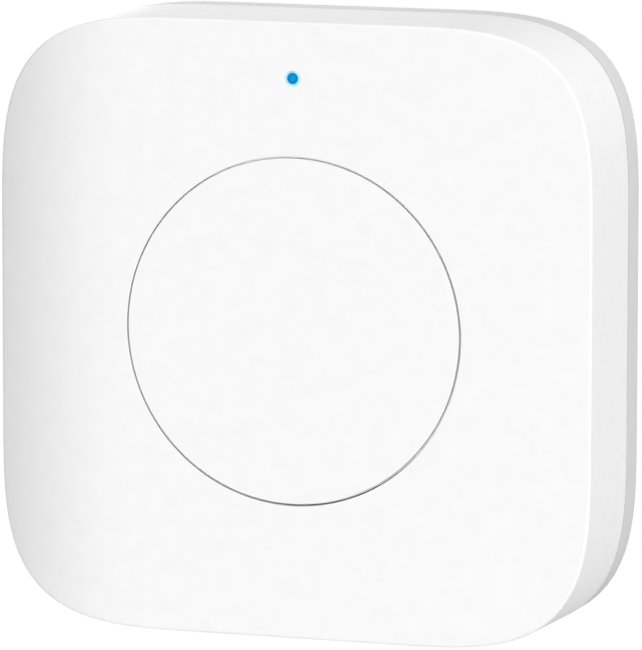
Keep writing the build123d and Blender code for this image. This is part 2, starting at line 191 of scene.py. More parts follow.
class Piece:
    """One piece on the bench, modelled in millimetres.

    Attributes:
        part: The Blender object.
    """

    def __init__(self, part: bpy.types.Object) -> None:
        """Takes an object onto the bench."""
        self.part = part

    @staticmethod
    def clear() -> None:
        """Leaves edit mode and deselects everything."""
        if bpy.context.object and bpy.context.object.mode != "OBJECT":
            bpy.ops.object.mode_set(mode="OBJECT")
        bpy.ops.object.select_all(action="DESELECT")

    @classmethod
    def taken(cls, name: str) -> "Piece":
        """Names the primitive just added and applies its place.

        Args:
            name: Name of the piece.

        Returns:
            The piece.
        """
        part = bpy.context.object
        part.name = name
        part.data.name = name
        bpy.ops.object.transform_apply(location=True, rotation=True, scale=True)
        return cls(part)

    @classmethod
    def block(cls, name: str, across: Span, up: Span, out: Span) -> "Piece":
        """Adds a cuboid.

        Args:
            name: Name of the piece.
            across: Its two ends across.
            up: Its lower and upper end.
            out: Its two levels out of the wall.

        Returns:
            The piece.
        """
        cls.clear()
        spans = (across, (-out[1], -out[0]), up)
        bpy.ops.mesh.primitive_cube_add(size=1, location=[sum(span) / 2 for span in spans],
                                        scale=[abs(span[1] - span[0]) for span in spans])
        return cls.taken(name)

    @classmethod
    def turned(cls, name: str, steps: Sequence[Place], centre: Place = (0, 0),
               sides: int = ROUND_SIDES) -> "Piece":
        """Adds a disc and draws it out step by step into a turned form.

        Args:
            name: Name of the piece.
            steps: Radius and level of each corner of the outline, one after the other.
            centre: Its axis, across and up.
            sides: Number of sides.

        Returns:
            The piece.
        """
        cls.clear()
        radius, level = steps[0]
        bpy.ops.mesh.primitive_circle_add(vertices=sides, radius=radius, fill_type="NGON",
                                          location=(centre[0], -level, centre[1]),
                                          rotation=(math.pi / 2, 0, 0))
        work = cls.taken(name)
        work.edit()
        for next_radius, next_level in steps[1:]:
            bpy.ops.mesh.extrude_region_move(
                TRANSFORM_OT_translate={"value": (0, level - next_level, 0)})
            share = next_radius / radius
            bpy.ops.transform.resize(value=(share, 1, share),
                                     center_override=(centre[0], -next_level, centre[1]))
            radius, level = next_radius, next_level
        return work.tidied()

    @classmethod
    def pin(cls, name: str, radius: float, out: Span, centre: Place = (0, 0),
            sides: int = SMALL_SIDES) -> "Piece":
        """Adds a plain round pin, from one level to another."""
        return cls.turned(name, [(radius, level) for level in out], centre, sides)

    @classmethod
    def tube(cls, name: str, outer: float, inner: float, out: Span, centre: Place = (0, 0),
             sides: int = ROUND_SIDES) -> "Piece":
        """Adds a round tube.

        Args:
            name: Name of the piece.
            outer: Its outer radius.
            inner: Its inner radius.
            out: Its two levels.
            centre: Its axis, across and up.
            sides: Number of sides.

        Returns:
            The piece.
        """
        work = cls.pin(name, outer, out, centre, sides)
        work.pick_faces(lambda middle, normal: abs(normal.y) > SQUARE_ON)
        bpy.ops.mesh.inset(thickness=outer - inner, depth=0)
        bpy.ops.mesh.bridge_edge_loops()
        return work.tidied()

    @classmethod
    def strip(cls, name: str, points: Sequence[Place], thickness: float, span: Span, bend: float = 0.0,
              flat: bool = False) -> "Piece":
        """Adds a strip that follows a line of points.

        Args:
            name: Name of the piece.
            points: Points of its middle line: across and out, or across and up for a flat strip.
            thickness: Its thickness, measured square to that line.
            span: Its two sides: up, or out for a flat strip.
            bend: Radius of its bends.
            flat: True for a strip that lies on the board.

        Returns:
            The piece.
        """
        cls.clear()
        sides = (-span[1], -span[0]) if flat else span
        bpy.ops.mesh.primitive_plane_add(size=1, location=(points[0][0], sum(sides) / 2, points[0][1]))
        work = cls.taken(name)
        work.edit()
        bpy.ops.transform.resize(value=(0, sides[1] - sides[0], 1))
        bpy.ops.mesh.remove_doubles(threshold=MERGE_DISTANCE)
        bpy.ops.mesh.select_mode(type="EDGE")
        bpy.ops.mesh.select_all(action="SELECT")
        for start, end in zip(points, points[1:]):
            bpy.ops.mesh.extrude_region_move(
                TRANSFORM_OT_translate={"value": (end[0] - start[0], 0, end[1] - start[1])})
        if bend:
            work.bevel_edges(lambda a, b: stands(a, b) and any(
                math.dist((a.x, a.z), corner) < SLACK for corner in points[1:-1]), bend, 4)
        work.apply("SOLIDIFY", thickness=thickness, offset=0, use_even_offset=True)
        if not flat:
            work.part.data.transform(Matrix.Rotation(math.pi / 2, 4, "X"))
        return work.tidied()

    def focus(self) -> None:
        """Selects this piece alone."""
        self.clear()
        self.part.select_set(True)
        bpy.context.view_layer.objects.active = self.part

    def edit(self) -> None:
        """Goes into edit mode on this piece alone, with all of it selected."""
        self.focus()
        bpy.ops.object.mode_set(mode="EDIT")
        bpy.ops.mesh.select_all(action="SELECT")

    def tidied(self) -> "Piece":
        """Merges doubles and turns all faces outwards.

        Returns:
            The same piece.
        """
        self.edit()
        bpy.ops.mesh.remove_doubles(threshold=MERGE_DISTANCE)
        bpy.ops.mesh.normals_make_consistent(inside=False)
        bpy.ops.object.mode_set(mode="OBJECT")
        return self

    def pick(self, kind: str, wanted: Callable[[bmesh.types.BMFace | bmesh.types.BMEdge], bool]) -> int:
        """Selects faces or edges in edit mode.

        Args:
            kind: Blender's word for what is selected.
            wanted: Says of a face or an edge whether it is wanted.

        Returns:
            How many were picked.
        """
        self.edit()
        bpy.ops.mesh.select_mode(type=kind)
        bpy.ops.mesh.select_all(action="DESELECT")
        mesh = bmesh.from_edit_mesh(self.part.data)
        picked = [item for item in (mesh.faces if kind == "FACE" else mesh.edges) if wanted(item)]
        for item in picked:
            item.select_set(True)
        mesh.select_flush_mode()
        bmesh.update_edit_mesh(self.part.data)
        return len(picked)

    def pick_faces(self, wanted: Test) -> int:
        """Selects faces by their middle and normal, and counts them."""
        return self.pick("FACE", lambda face: wanted(face.calc_center_median(), face.normal))

    def pick_edges(self, wanted: Test) -> int:
        """Selects edges by their two ends, and counts them."""
        return self.pick("EDGE", lambda edge: wanted(edge.verts[0].co, edge.verts[1].co))

    def bevel_edges(self, wanted: Test, offset: float, segments: int = 2,
                    profile: float = 0.5) -> "Piece":
        """Rounds chosen edges in edit mode.

        Args:
            wanted: Says from an edge's two ends whether it is wanted.
            offset: Width of the round.
            segments: Number of its bands.
            profile: Its fullness, 0.5 for a plain round.

        Returns:
            The same piece.
        """
        if self.pick_edges(wanted):
            bpy.ops.mesh.bevel(offset=offset, segments=segments, profile=profile, affect="EDGES",
                               clamp_overlap=True)
        else:
            LOG.warning("no edge picked on %s", self.part.name)
        bpy.ops.object.mode_set(mode="OBJECT")
        return self

    def tapered(self, wanted: Test, share: Point, centre: Point) -> "Piece":
        """Scales chosen faces about a point, so that the piece tapers.

        Args:
            wanted: Says from a face's middle and normal whether it is wanted.
            share: Scale along each axis.
            centre: The point.

        Returns:
            The same piece.
        """
        self.pick_faces(wanted)
        bpy.ops.transform.resize(value=share, center_override=centre)
        bpy.ops.object.mode_set(mode="OBJECT")
        return self

    def apply(self, kind: str, **settings: object) -> "Piece":
        """Adds a modifier and applies it.

        Args:
            kind: Type of the modifier.
            **settings: Its settings.

        Returns:
            The same piece.
        """
        self.focus()
        modifier = self.part.modifiers.new(kind.lower(), kind)
        for key, value in settings.items():
            setattr(modifier, key, value)
        bpy.ops.object.modifier_apply(modifier=modifier.name)
        return self

    def combine(self, operation: str, others: Sequence["Piece"]) -> "Piece":
        """Combines this solid with others, which are used up.

        Args:
            operation: Blender's word for the operation.
            others: The other solids.

        Returns:
            The same piece.
        """
        for other in others:
            self.apply("BOOLEAN", operation=operation, solver="EXACT", object=other.part)
            bpy.data.meshes.remove(other.part.data)
        return self

    def add(self, *others: "Piece") -> "Piece":
        """Joins other solids to this one."""
        return self.combine("UNION", others)

    def cut(self, *others: "Piece") -> "Piece":
        """Cuts other solids out of this one."""
        return self.combine("DIFFERENCE", others)

    def trim(self, *others: "Piece") -> "Piece":
        """Keeps only what lies inside other solids."""
        return self.combine("INTERSECT", others)

    def gather(self, *others: "Piece") -> "Piece":
        """Takes other pieces into the same object as they are, each a shell of its own."""
        self.focus()
        for other in others:
            other.part.select_set(True)
        bpy.ops.object.join()
        return self

    def moved(self, across: float = 0, up: float = 0, turn: float = 0) -> "Piece":
        """Turns the piece, in degrees anticlockwise as seen from the front, and then moves it."""
        turning = Matrix.Rotation(-math.radians(turn), 4, "Y")
        self.part.data.transform(Matrix.Translation((across, 0, up)) @ turning)
        return self

    def softened(self, width: float, segments: int = 2, angle: float = 30) -> "Piece":
        """Rounds all edges that are sharper than an angle in degrees, in a number of bands."""
        return self.apply("BEVEL", width=width, segments=segments, limit_method="ANGLE",
                          angle_limit=math.radians(angle))

    def dressed(self, finish: "Finish", wanted: Optional[Test] = None) -> "Piece":
        """Gives the piece a finish, or chosen faces of it a further one.

        Args:
            finish: The finish.
            wanted: Says from a face's middle and normal whether it is meant; None for the whole piece.

        Returns:
            The same piece.
        """
        self.part.data.materials.append(finish.material())
        if wanted and self.pick_faces(wanted):
            self.part.active_material_index = len(self.part.data.materials) - 1
            bpy.ops.object.material_slot_assign()
        self.clear()
        return self

    def finished(self, finish: "Finish", *nodes: str, body: Body = Body.HOUSING,
                 slot: Optional[str] = None) -> bpy.types.Object:
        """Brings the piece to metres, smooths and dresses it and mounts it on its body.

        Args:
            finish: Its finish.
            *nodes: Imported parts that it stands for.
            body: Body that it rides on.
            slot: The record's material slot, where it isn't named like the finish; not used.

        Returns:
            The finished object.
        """
        self.tidied()
        self.part.name = self.part.name.split(".")[0] + "_piece"
        self.part.data.name = self.part.name
        self.part.scale = (MM, MM, MM)
        self.focus()
        bpy.ops.object.transform_apply(location=True, rotation=True, scale=True)
        bpy.ops.object.shade_smooth_by_angle(angle=SMOOTH_ANGLE)
        self.apply("WEIGHTED_NORMAL", keep_sharp=True, weight=50)
        if not self.part.data.materials:
            self.part.data.materials.append(finish.material())
        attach(self.part, body.value)
        if nodes:
            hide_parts(*nodes)
        LOG.info("%s: %d faces on %s", self.part.name, len(self.part.data.polygons), body.value)
        return self.part


class NodeBoard:
    """Lays out the nodes of one material, or of the surroundings.

    Attributes:
        look: The material or the surroundings.
        shader: The Principled shader of a material.
    """

    def __init__(self, look: bpy.types.Material | bpy.types.World) -> None:
        """Starts with an empty layout."""
        self.look = look
        look.use_nodes = True
        look.node_tree.nodes.clear()

    @classmethod
    def shaded(cls, name: str) -> "NodeBoard":
        """Starts a material with its shader and output."""
        board = cls(bpy.data.materials.new(name))
        board.shader = board.node("ShaderNodeBsdfPrincipled")
        board.node("ShaderNodeOutputMaterial", {"Surface": board.shader.outputs["BSDF"]})
        return board

    def node(self, kind: str, inputs: Optional[dict] = None, **options: str) -> bpy.types.Node:
        """Adds a node.

        Args:
            kind: Type of the node.
            inputs: Value or source of its inputs, by name or number.
            **options: Values of its attributes.

        Returns:
            The node.
        """
        made = self.look.node_tree.nodes.new(kind)
        for key, value in options.items():
            setattr(made, key, value)
        for key, value in (inputs or {}).items():
            self.feed(made.inputs[key], value)
        return made

    def feed(self, socket: Socket, value: object) -> None:
        """Gives an input a value, or links it to an output.

        Args:
            socket: The input.
            value: The value or the output.
        """
        if isinstance(value, Socket):
            self.look.node_tree.links.new(value, socket)
        else:
            socket.default_value = value

    def surface(self, **inputs: object) -> None:
        """Sets inputs of the shader, named with underscores for spaces."""
        for key, value in inputs.items():
            self.feed(self.shader.inputs[key.replace("_", " ")], value)

    def place(self, stretch: Point = (1, 1, 1), centre: Point = (0, 0, 0)) -> Socket:
        """Object coordinates, stretched along each axis round a centre in metres."""
        source = self.node("ShaderNodeTexCoord").outputs["Object"]
        shift = [-part * share for part, share in zip(centre, stretch)]
        inputs = {"Vector": source, "Location": shift, "Scale": stretch}
        return self.node("ShaderNodeMapping", inputs).outputs["Vector"]

    def noise(self, place: Socket, grain: float, detail: float = 2) -> Socket:
        """A noise pattern from 0 to 1, with grains of a size in millimetres and finer layers."""
        inputs = {"Vector": place, "Scale": 1 / (grain * MM), "Detail": detail}
        return self.node("ShaderNodeTexNoise", inputs).outputs["Fac"]

    def spread(self, source: Socket, low: float, high: float) -> Socket:
        """Spreads a noise pattern, whose values lie mostly near its middle, over a range."""
        start, end = NOISE_MIDDLE
        inputs = {"Value": source, "From Min": start, "From Max": end, "To Min": low, "To Max": high}
        return self.node("ShaderNodeMapRange", inputs).outputs["Result"]

    def ramp(self, source: Socket, low: float, high: float) -> Socket:
        """A soft step, from 0 where the value is low to 1 where it is high."""
        inputs = {"Value": source, "From Min": low, "From Max": high}
        return self.node("ShaderNodeMapRange", inputs, interpolation_type="SMOOTHSTEP").outputs["Result"]

    def blend(self, share: Socket, *colours: Colour | Socket) -> Socket:
        """Blends two colours.

        Args:
            share: Share of the second.
            *colours: The two colours, each a constant or an output.

        Returns:
            The blended colour.
        """
        mixed = self.node("ShaderNodeMix", {"Factor": share}, data_type="RGBA")
        sockets = [socket for socket in mixed.inputs if socket.type == "RGBA"]
        for colour, socket in zip(colours, sockets):
            self.feed(socket, (*colour, 1) if isinstance(colour, tuple) else colour)
        return next(socket for socket in mixed.outputs if socket.type == "RGBA")

    def distance(self, centre: Point) -> Socket:
        """Distance in millimetres from the axis that runs out of the wall through a point."""
        place = self.place((1 / MM, 0, 1 / MM), centre)
        return self.node("ShaderNodeVectorMath", {0: place}, operation="LENGTH").outputs["Value"]

    def bump(self, height: Socket, depth: float, strength: float) -> None:
        """Gives the surface a relief from a height pattern, with its depth in millimetres."""
        inputs = {"Height": height, "Distance": depth * MM, "Strength": strength}
        self.surface(Normal=self.node("ShaderNodeBump", inputs).outputs["Normal"])


@dataclass(frozen=True)
class Finish:
    """A surface finish with a fine grain."""

    name: str  # Its name, which is also the record's slot where the record has it
    colour: Colour  # Its colour, as linear light
    roughness: float = 0.5  # Its roughness
    grain: float = 0.2  # Size of its grain, in millimetres
    depth: float = 0.01  # Depth of its grain, in millimetres
    strength: float = 0.3  # How strongly the grain shows
    mottle: float = 0.03  # How much the tone changes from place to place
    metallic: float = 0.0  # 1 for a metal
    coat: float = 0.0  # Strength of a clear coat
    brushed: Axis = Axis.EVEN  # Direction of its brushing
    patch: float = 3.0  # Size of the patches of tone, in millimetres
    specular: float = 0.5  # Strength of its plain reflection
    waver: float = 0.12  # How much the roughness changes with the grain

    def material(self) -> bpy.types.Material:
        """Hands out the material, which is built once."""
        return bpy.data.materials.get(self.title) or self.build().look

    @property
    def title(self) -> str:
        """Name of the Blender material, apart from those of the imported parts."""
        return self.name + "_finish"

    def build(self) -> NodeBoard:
        """Lays out the material.

        Returns:
            Its board of nodes.
        """
        board = NodeBoard.shaded(self.title)
        grain = board.noise(board.place(self.brushed.value), self.grain, 3)
        patches = board.noise(board.place(), self.patch)
        low, high = (self.roughness * (1 + side * self.waver) for side in SIDES)
        rough = board.spread(grain, low, min(high, 1))
        board.surface(Base_Color=self.tone(board, patches), Metallic=self.metallic, Roughness=rough,
                      Coat_Weight=self.coat, Specular_IOR_Level=self.specular)
        board.bump(grain, self.depth, self.strength)
        return board

    def tone(self, board: NodeBoard, patches: Socket) -> Socket:
        """Colour that changes a little from place to place.

        Args:
            board: Board of the material.
            patches: Pattern of the patches.

        Returns:
            The colour.
        """
        darker = tuple(part * (1 - self.mottle) for part in self.colour)
        lighter = tuple(min(part * (1 + self.mottle), 1) for part in self.colour)
        return board.blend(board.spread(patches, 0, 1), darker, lighter)


@dataclass(frozen=True)
class Metal(Finish):
    """A bare metal."""

    metallic: float = 1.0


@dataclass(frozen=True)
class Moulding(Finish):
    """Finely textured white moulding."""

    roughness: float = 0.55
    grain: float = 0.11
    depth: float = 0.012
    strength: float = 0.35
    mottle: float = 0.012
    patch: float = 1.4
    specular: float = 0.35


@dataclass(frozen=True)
class MouldingWithPaintedGlow(Moulding):
    """White moulding with the indicator's faint blue glow painted into its colour round the light."""

    lamp: Point = (0, 0, 0)  # Middle of the indicator light, in metres
    lamp_radius: float = 0.48  # Radius of the light, in millimetres
    reach: float = 0.72  # How far out the painted glow reaches, in millimetres
    painted_glow: Colour = (0.66, 0.9, 1.0)  # Colour of the painted glow

    def tone(self, board: NodeBoard, patches: Socket) -> Socket:
        """The moulding's colour, turning to the painted glow near the light."""
        far = board.ramp(board.distance(self.lamp), self.lamp_radius, self.reach)
        return board.blend(far, self.painted_glow, super().tone(board, patches))


@dataclass(frozen=True)
class LitPlastic(Finish):
    """Clear plastic lit from behind, brighter in the middle."""

    rim: Colour = (0.0, 0.2, 0.5)  # Colour near its rim
    edge: Colour = (0.5, 0.8, 0.95)  # Colour of its very edge
    lamp: Point = (0, 0, 0)  # Middle of the light, in metres
    radius: float = 0.5  # Its radius, in millimetres
    light: float = 0.3  # Strength of its own light
    deepens: float = 0.7  # Share of the radius by which the colour has turned to that of the rim
    pales: Place = (0.78, 1.02)  # Shares of the radius between which the rim pales to the edge

    def build(self) -> NodeBoard:
        """Lays out the material with its own light.

        Returns:
            Its board of nodes.
        """
        board = super().build()
        colour = board.shader.inputs["Base Color"].links[0].from_socket
        board.surface(Emission_Color=colour, Emission_Strength=self.light)
        return board

    def tone(self, board: NodeBoard, patches: Socket) -> Socket:
        """Colour that deepens towards the rim and pales at the very edge, the same all round.

        Args:
            board: Board of the material.
            patches: Pattern of the patches, not used.

        Returns:
            The colour.
        """
        distance = board.distance(self.lamp)
        deepened = board.blend(board.ramp(distance, 0, self.radius * self.deepens), self.colour, self.rim)
        start, end = (self.radius * share for share in self.pales)
        return board.blend(board.ramp(distance, start, end), deepened, self.edge)


@dataclass(frozen=True)
class SpunSteel(Metal):
    """Pressed steel with fine rings round an axis."""

    axis: Point = (0, 0, 0)  # A point on the axis, in metres
    ring: float = 0.12  # Width of a ring, in millimetres
    ring_waver: float = 0.3  # How much the roughness changes from ring to ring

    def build(self) -> NodeBoard:
        """Lays out the material with its rings.

        Returns:
            Its board of nodes.
        """
        board = super().build()
        inputs = {"W": board.distance(self.axis), "Scale": 1 / self.ring, "Detail": 2}
        rings = board.node("ShaderNodeTexNoise", inputs, noise_dimensions="1D").outputs["Fac"]
        low, high = (self.roughness * (1 + side * self.ring_waver) for side in SIDES)
        board.surface(Roughness=board.spread(rings, low, high))
        board.bump(rings, self.depth, self.strength)
        return board


def axis_of(extent: Extent) -> Point:
    """A point on the axis that runs out of the wall through a part's middle, in metres."""
    return extent.middle[0] * MM, 0.0, extent.middle[1] * MM


LIGHT = Extent.of("light_pipe")
CELL = Extent.of("cell_can")
FACE_MIDDLE = (0.0, -Extent.of("front_cover").front, 0.0)

WHITE = (0.935, 0.935, 0.935)
# The front cover's white, with the indicator's blue light painted onto it as a faint glow round the light
# pipe.
CASE_WHITE = MouldingWithPaintedGlow("case_white", WHITE, lamp=axis_of(LIGHT))
CAP_WHITE = Moulding("cap_white", WHITE)
BASE_WHITE = Moulding("base_white", (0.705, 0.705, 0.705), grain=0.13, mottle=0.015, patch=2.0)
ADHESIVE_FOAM = Finish("adhesive_foam", (0.78, 0.79, 0.8), 0.85, 0.16, 0.03, 0.5, 0.025, patch=0.5)
LIGHT_BLUE = LitPlastic("light_blue", (0.002, 0.26, 0.62), 0.3, 0.3, 0.002, 0.1, 0.0, specular=0.0,
                        rim=(0.003, 0.17, 0.37), edge=(0.44, 0.74, 0.86), lamp=axis_of(LIGHT),
                        radius=0.475, light=0.42)
BOARD_GREEN = Finish("board_green", (0.016, 0.12, 0.045), 0.35, 0.25, 0.006, 0.3, 0.12, coat=0.5, patch=1.8)
BOARD_CORE = Finish("board_core", (0.42, 0.36, 0.16), 0.7, 0.08, 0.01, 0.5, 0.08, patch=0.6)
TRACK_GREEN = Finish("track_green", (0.035, 0.21, 0.075), 0.35, 0.25, 0.006, 0.3, 0.08, coat=0.5)
COPPER = Metal("copper", (0.78, 0.5, 0.2), 0.3, 0.1, 0.006, 0.3, 0.05)
SOLDER = Metal("solder_tin", (0.66, 0.66, 0.64), 0.3, 0.15, 0.012, 0.5, 0.08)
SCREW_STEEL = Metal("screw_steel", (0.55, 0.55, 0.54), 0.32, 0.06, 0.01, 0.5, 0.06)
SWITCH_BLACK = Finish("switch_black", (0.022, 0.022, 0.024), 0.55, 0.09, 0.01, 0.5, 0.12, patch=0.8)
DOME_STEEL = Metal("dome_steel", (0.62, 0.62, 0.6), 0.25, 0.06, 0.004, 0.3, 0.05)
PLUNGER_BLACK = Finish("plunger_black", (0.03, 0.03, 0.032), 0.5, 0.08, 0.008, 0.5, 0.1, patch=0.8)
FRAME_STEEL = Metal("frame_steel", (0.64, 0.64, 0.63), 0.3, 0.05, 0.006, 0.4, 0.06, brushed=Axis.ACROSS)
TERMINAL_TIN = Metal("terminal_tin", (0.66, 0.66, 0.62), 0.32, 0.07, 0.008, 0.4, 0.06)
LED_WHITE = Finish("led_base_white", (0.84, 0.84, 0.8), 0.45, 0.06, 0.006, 0.3, 0.03)
LED_CLEAR = LitPlastic("led_clear", (0.25, 0.62, 0.95), 0.12, 0.2, 0.001, 0.1, 0.0, coat=0.6,
                       rim=(0.3, 0.55, 0.8), edge=(0.4, 0.6, 0.8), lamp=axis_of(LIGHT), radius=0.7)
CHIP_BLACK = Finish("chip_black", (0.028, 0.028, 0.031), 0.6, 0.05, 0.006, 0.5, 0.12, patch=0.7)
CRYSTAL_LID = Metal("crystal_lid", (0.72, 0.68, 0.58), 0.28, 0.06, 0.006, 0.4, 0.05, brushed=Axis.ACROSS)
CERAMIC = Finish("crystal_ceramic", (0.45, 0.42, 0.38), 0.6, 0.06, 0.008, 0.4, 0.06)
CAPACITOR_BROWN = Finish("capacitor_brown", (0.24, 0.14, 0.07), 0.4, 0.06, 0.006, 0.4, 0.1, patch=0.6)
RESISTOR_BLACK = Finish("resistor_black", (0.02, 0.02, 0.022), 0.3, 0.06, 0.004, 0.3, 0.1, patch=0.6)
RESERVOIR_AMBER = Finish("reservoir_amber", (0.5, 0.22, 0.02), 0.38, 0.09, 0.006, 0.4, 0.08, patch=0.9)
STRIPE_BROWN = Finish("stripe_brown", (0.13, 0.035, 0.008), 0.4, 0.09, 0.006, 0.4, 0.08)
CELL_STEEL = SpunSteel("cell_steel", (0.68, 0.68, 0.66), 0.24, 0.1, 0.003, 0.3, 0.04, axis=axis_of(CELL),
                       ring=0.14)
GASKET_CLEAR = Finish("gasket_clear", (0.6, 0.6, 0.56), 0.4, 0.1, 0.006, 0.3, 0.04)
PELLET_BLACK = Finish("pellet_black", (0.03, 0.03, 0.03), 0.85, 0.12, 0.04, 0.7, 0.25, patch=0.7)
SEPARATOR_WHITE = Finish("separator_white", (0.8, 0.8, 0.76), 0.85, 0.07, 0.02, 0.7, 0.06, patch=0.5)
LITHIUM_GREY = Metal("lithium_grey", (0.42, 0.42, 0.45), 0.45, 0.3, 0.02, 0.5, 0.15)
HOLDER_BLACK = Finish("holder_black", (0.03, 0.03, 0.033), 0.5, 0.1, 0.01, 0.5, 0.12, patch=1.4)
CONTACT_STEEL = Metal("contact_steel", (0.7, 0.68, 0.62), 0.26, 0.05, 0.004, 0.4, 0.05, brushed=Axis.UPRIGHT)


@dataclass
class CaseForm:
    """The outline that the covers and the board share."""

    width: float  # Half width at the parting line
    corner: float = 15.0  # How far a corner curve reaches along the side, at full width
    fullness: float = 0.672  # Profile of the corner curve
    bands: int = 28  # Number of bands in a corner

    def slab(self, name: str, half: float, out: Span, front_half: Optional[float] = None) -> Piece:
        """Adds a slab with the case's outline.

        Args:
            name: Name of the piece.
            half: Half width at its wall side.
            out: Its two levels.
            front_half: Half width at its front, where it differs.

        Returns:
            The piece.
        """
        work = Piece.block(name, (-half, half), (-half, half), out)
        if front_half:
            share = front_half / half
            work.tapered(looks_out, (share, 1, share), (0, -out[1], 0))
        return work.bevel_edges(stands, self.corner - (self.width - half), self.bands, self.fullness)


@dataclass
class Case:
    """The white two-part case: front cover, rear cover and adhesive pad."""

    wall: float = 1.5  # Thickness of the side walls, from the face's outline
    face_wall: float = 1.5  # Thickness of the face
    floor_wall: float = 1.4  # Thickness of the rear cover's floor
    draft: float = 0.15  # How much each side leans in towards the face
    face_edge: float = 0.2  # Width of the round at the edge of the face
    parting_edge: float = 0.1  # Width of the fine rounds at the parting line
    base_edge: float = 0.9  # Width of the round at the wall
    parting_gap: float = 0.1  # Width of the line between the covers
    lip: float = 1.0  # Height of the rear cover's lip
    rebate_wall: float = 0.75  # What is left of the wall outside the lip
    fit: float = 0.1  # Clearance round the lip
    opening: float = 12.665  # Radius of the opening for the push cap
    opening_edge: float = 0.07  # Width of the round at the opening
    collar: float = 13.675  # Outer radius of the guide collar
    collar_height: float = 1.6  # Its height
    post: float = 1.7  # Radius of the posts
    post_tip: Place = (0.94, 0.1)  # Radius and height of their bevelled tips, as shares of that radius
    post_foot: float = 2.125  # Radius of their feet
    post_flare: float = 0.25  # Height of the flare above a foot, as a share of the post's radius
    post_places: tuple = ((14.0, 13.0), (-14.0, -13.0))  # Places of the screw posts
    pin_places: tuple = ((-14.0, 13.0), (14.0, -13.0))  # Places of the locating pins
    pin: float = 0.65  # Radius of the locating pins
    pin_nose: Place = (0.7, 0.4)  # Radius and height of their noses, as shares of that radius
    pin_tip: float = 0.3  # How far a pin passes through the board
    screw_hole: float = 0.72  # Radius of the screw holes
    hole_lead: Place = (1.3, 0.3)  # Radius and depth of their lead-ins, as shares of that radius
    screw_depth: float = 2.7  # Their depth
    pad_recess: float = 17.3  # Radius of the recess for the pad
    pad_depth: float = 0.4  # Its depth
    pad_film: float = 0.08  # Thickness of the two films on the pad
    pad_waist: float = 0.997  # How wide the foam between them is, as a share of the pad
    pad_bevel: float = 1.6  # How deep the foam reaches that width, in thicknesses of the film
    arm_width: float = 5.0  # Width of a snap arm
    arm_thickness: float = 0.9  # Its thickness
    arm_edge: float = 0.25  # Width of the rounds on its inside
    arm_spread: float = 8.0  # Distance of the snap arms from the middle of their side
    arm_gap: float = 0.15  # Clearance between arm and wall
    barb: float = 0.12  # How far a barb stands out
    barb_height: float = 1.0  # Its height
    barb_tip: float = 0.02  # How thick it starts, as a share of its full thickness
    pocket: float = 0.6  # Depth of the pockets for the barbs
    notch_width: float = 8.0  # Width of the pry notch
    notch_depth: float = 0.9  # How far it goes in from the side
    notch_height: float = 1.2  # How far it goes down from the parting line
    ridge_side: float = 12.0  # Side of the square ridge under the cell
    ridge_wall: float = 0.8  # Thickness of the ridge
    ridge_height: float = 0.4  # Its height
    rib: float = 0.8  # Thickness of the ribs
    rib_edge: float = 0.24  # Width of the rounds on their inner ends
    rib_bearing: float = 0.9  # How far a rib reaches over the edge of the board
    rib_spread: float = 8.0  # Distance of the paired ribs from the middle of their side
    key_width: float = 1.9  # Width of the slot for the cap's key
    key_angle: float = 30.0  # Turn of that slot
    sleeve_wall: float = 0.7  # Thickness of the sleeve round the light pipe
    light_gap: float = 0.05  # Clearance round the light pipe

    def __post_init__(self) -> None:
        """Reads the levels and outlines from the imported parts."""
        front = Extent.of("front_cover")
        rear = Extent.of("rear_cover")
        board = Extent.of("circuit_board")
        self.half = front.half_across
        self.form = CaseForm(self.half)
        self.parting, self.face = front.out
        self.back, self.arm_top = rear.out
        self.board_back, self.board_front = board.out
        self.board_half = board.half_across
        self.floor = self.back + self.floor_wall
        self.under_floor = self.floor - self.floor_wall / 3
        self.ceiling = self.face - self.face_wall
        self.over_ceiling = self.ceiling + self.face_wall / 2
        self.collar_end = self.ceiling - self.collar_height
        self.face_half = self.half - self.draft
        self.cavity = self.face_half - self.wall
        self.rebate = self.face_half - self.rebate_wall
        self.arm_face = self.cavity - self.arm_gap
        self.arms = [(turn, offset) for turn in (0, 180) for offset in (-self.arm_spread, self.arm_spread)]

    def build_front(self) -> None:
        """Models the front cover with all that is moulded on its inside."""
        work = self.form.slab("front_cover", self.half, (self.parting, self.face), self.face_half)
        work.bevel_edges(rim_at(self.face), self.face_edge, 4)
        work.bevel_edges(rim_at(self.parting), self.parting_edge, 2)
        below = self.parting - OVERRUN
        work.cut(self.form.slab("cavity", self.cavity, (below, self.ceiling)))
        work.cut(self.form.slab("rebate", self.rebate, (below, self.parting + self.lip + self.fit)))
        collar = (self.collar_end, self.over_ceiling)
        work.add(Piece.pin("collar", self.collar, collar, sides=ROUND_SIDES))
        bore = (self.collar_end - OVERRUN, self.face + OVERRUN)
        work.cut(Piece.pin("opening", self.opening, bore, sides=ROUND_SIDES))
        slot = Piece.block("slot", (self.opening - OVERRUN, self.collar + OVERRUN),
                           around(0, self.key_width), (bore[0], self.ceiling))
        work.cut(slot.moved(turn=self.key_angle))
        work.bevel_edges(circle_at(self.face, self.opening), self.opening_edge, 3)
        self.add_posts(work)
        self.add_sleeve(work)
        self.add_ribs(work)
        self.cut_pockets(work)
        work.finished(CASE_WHITE, "front_cover")

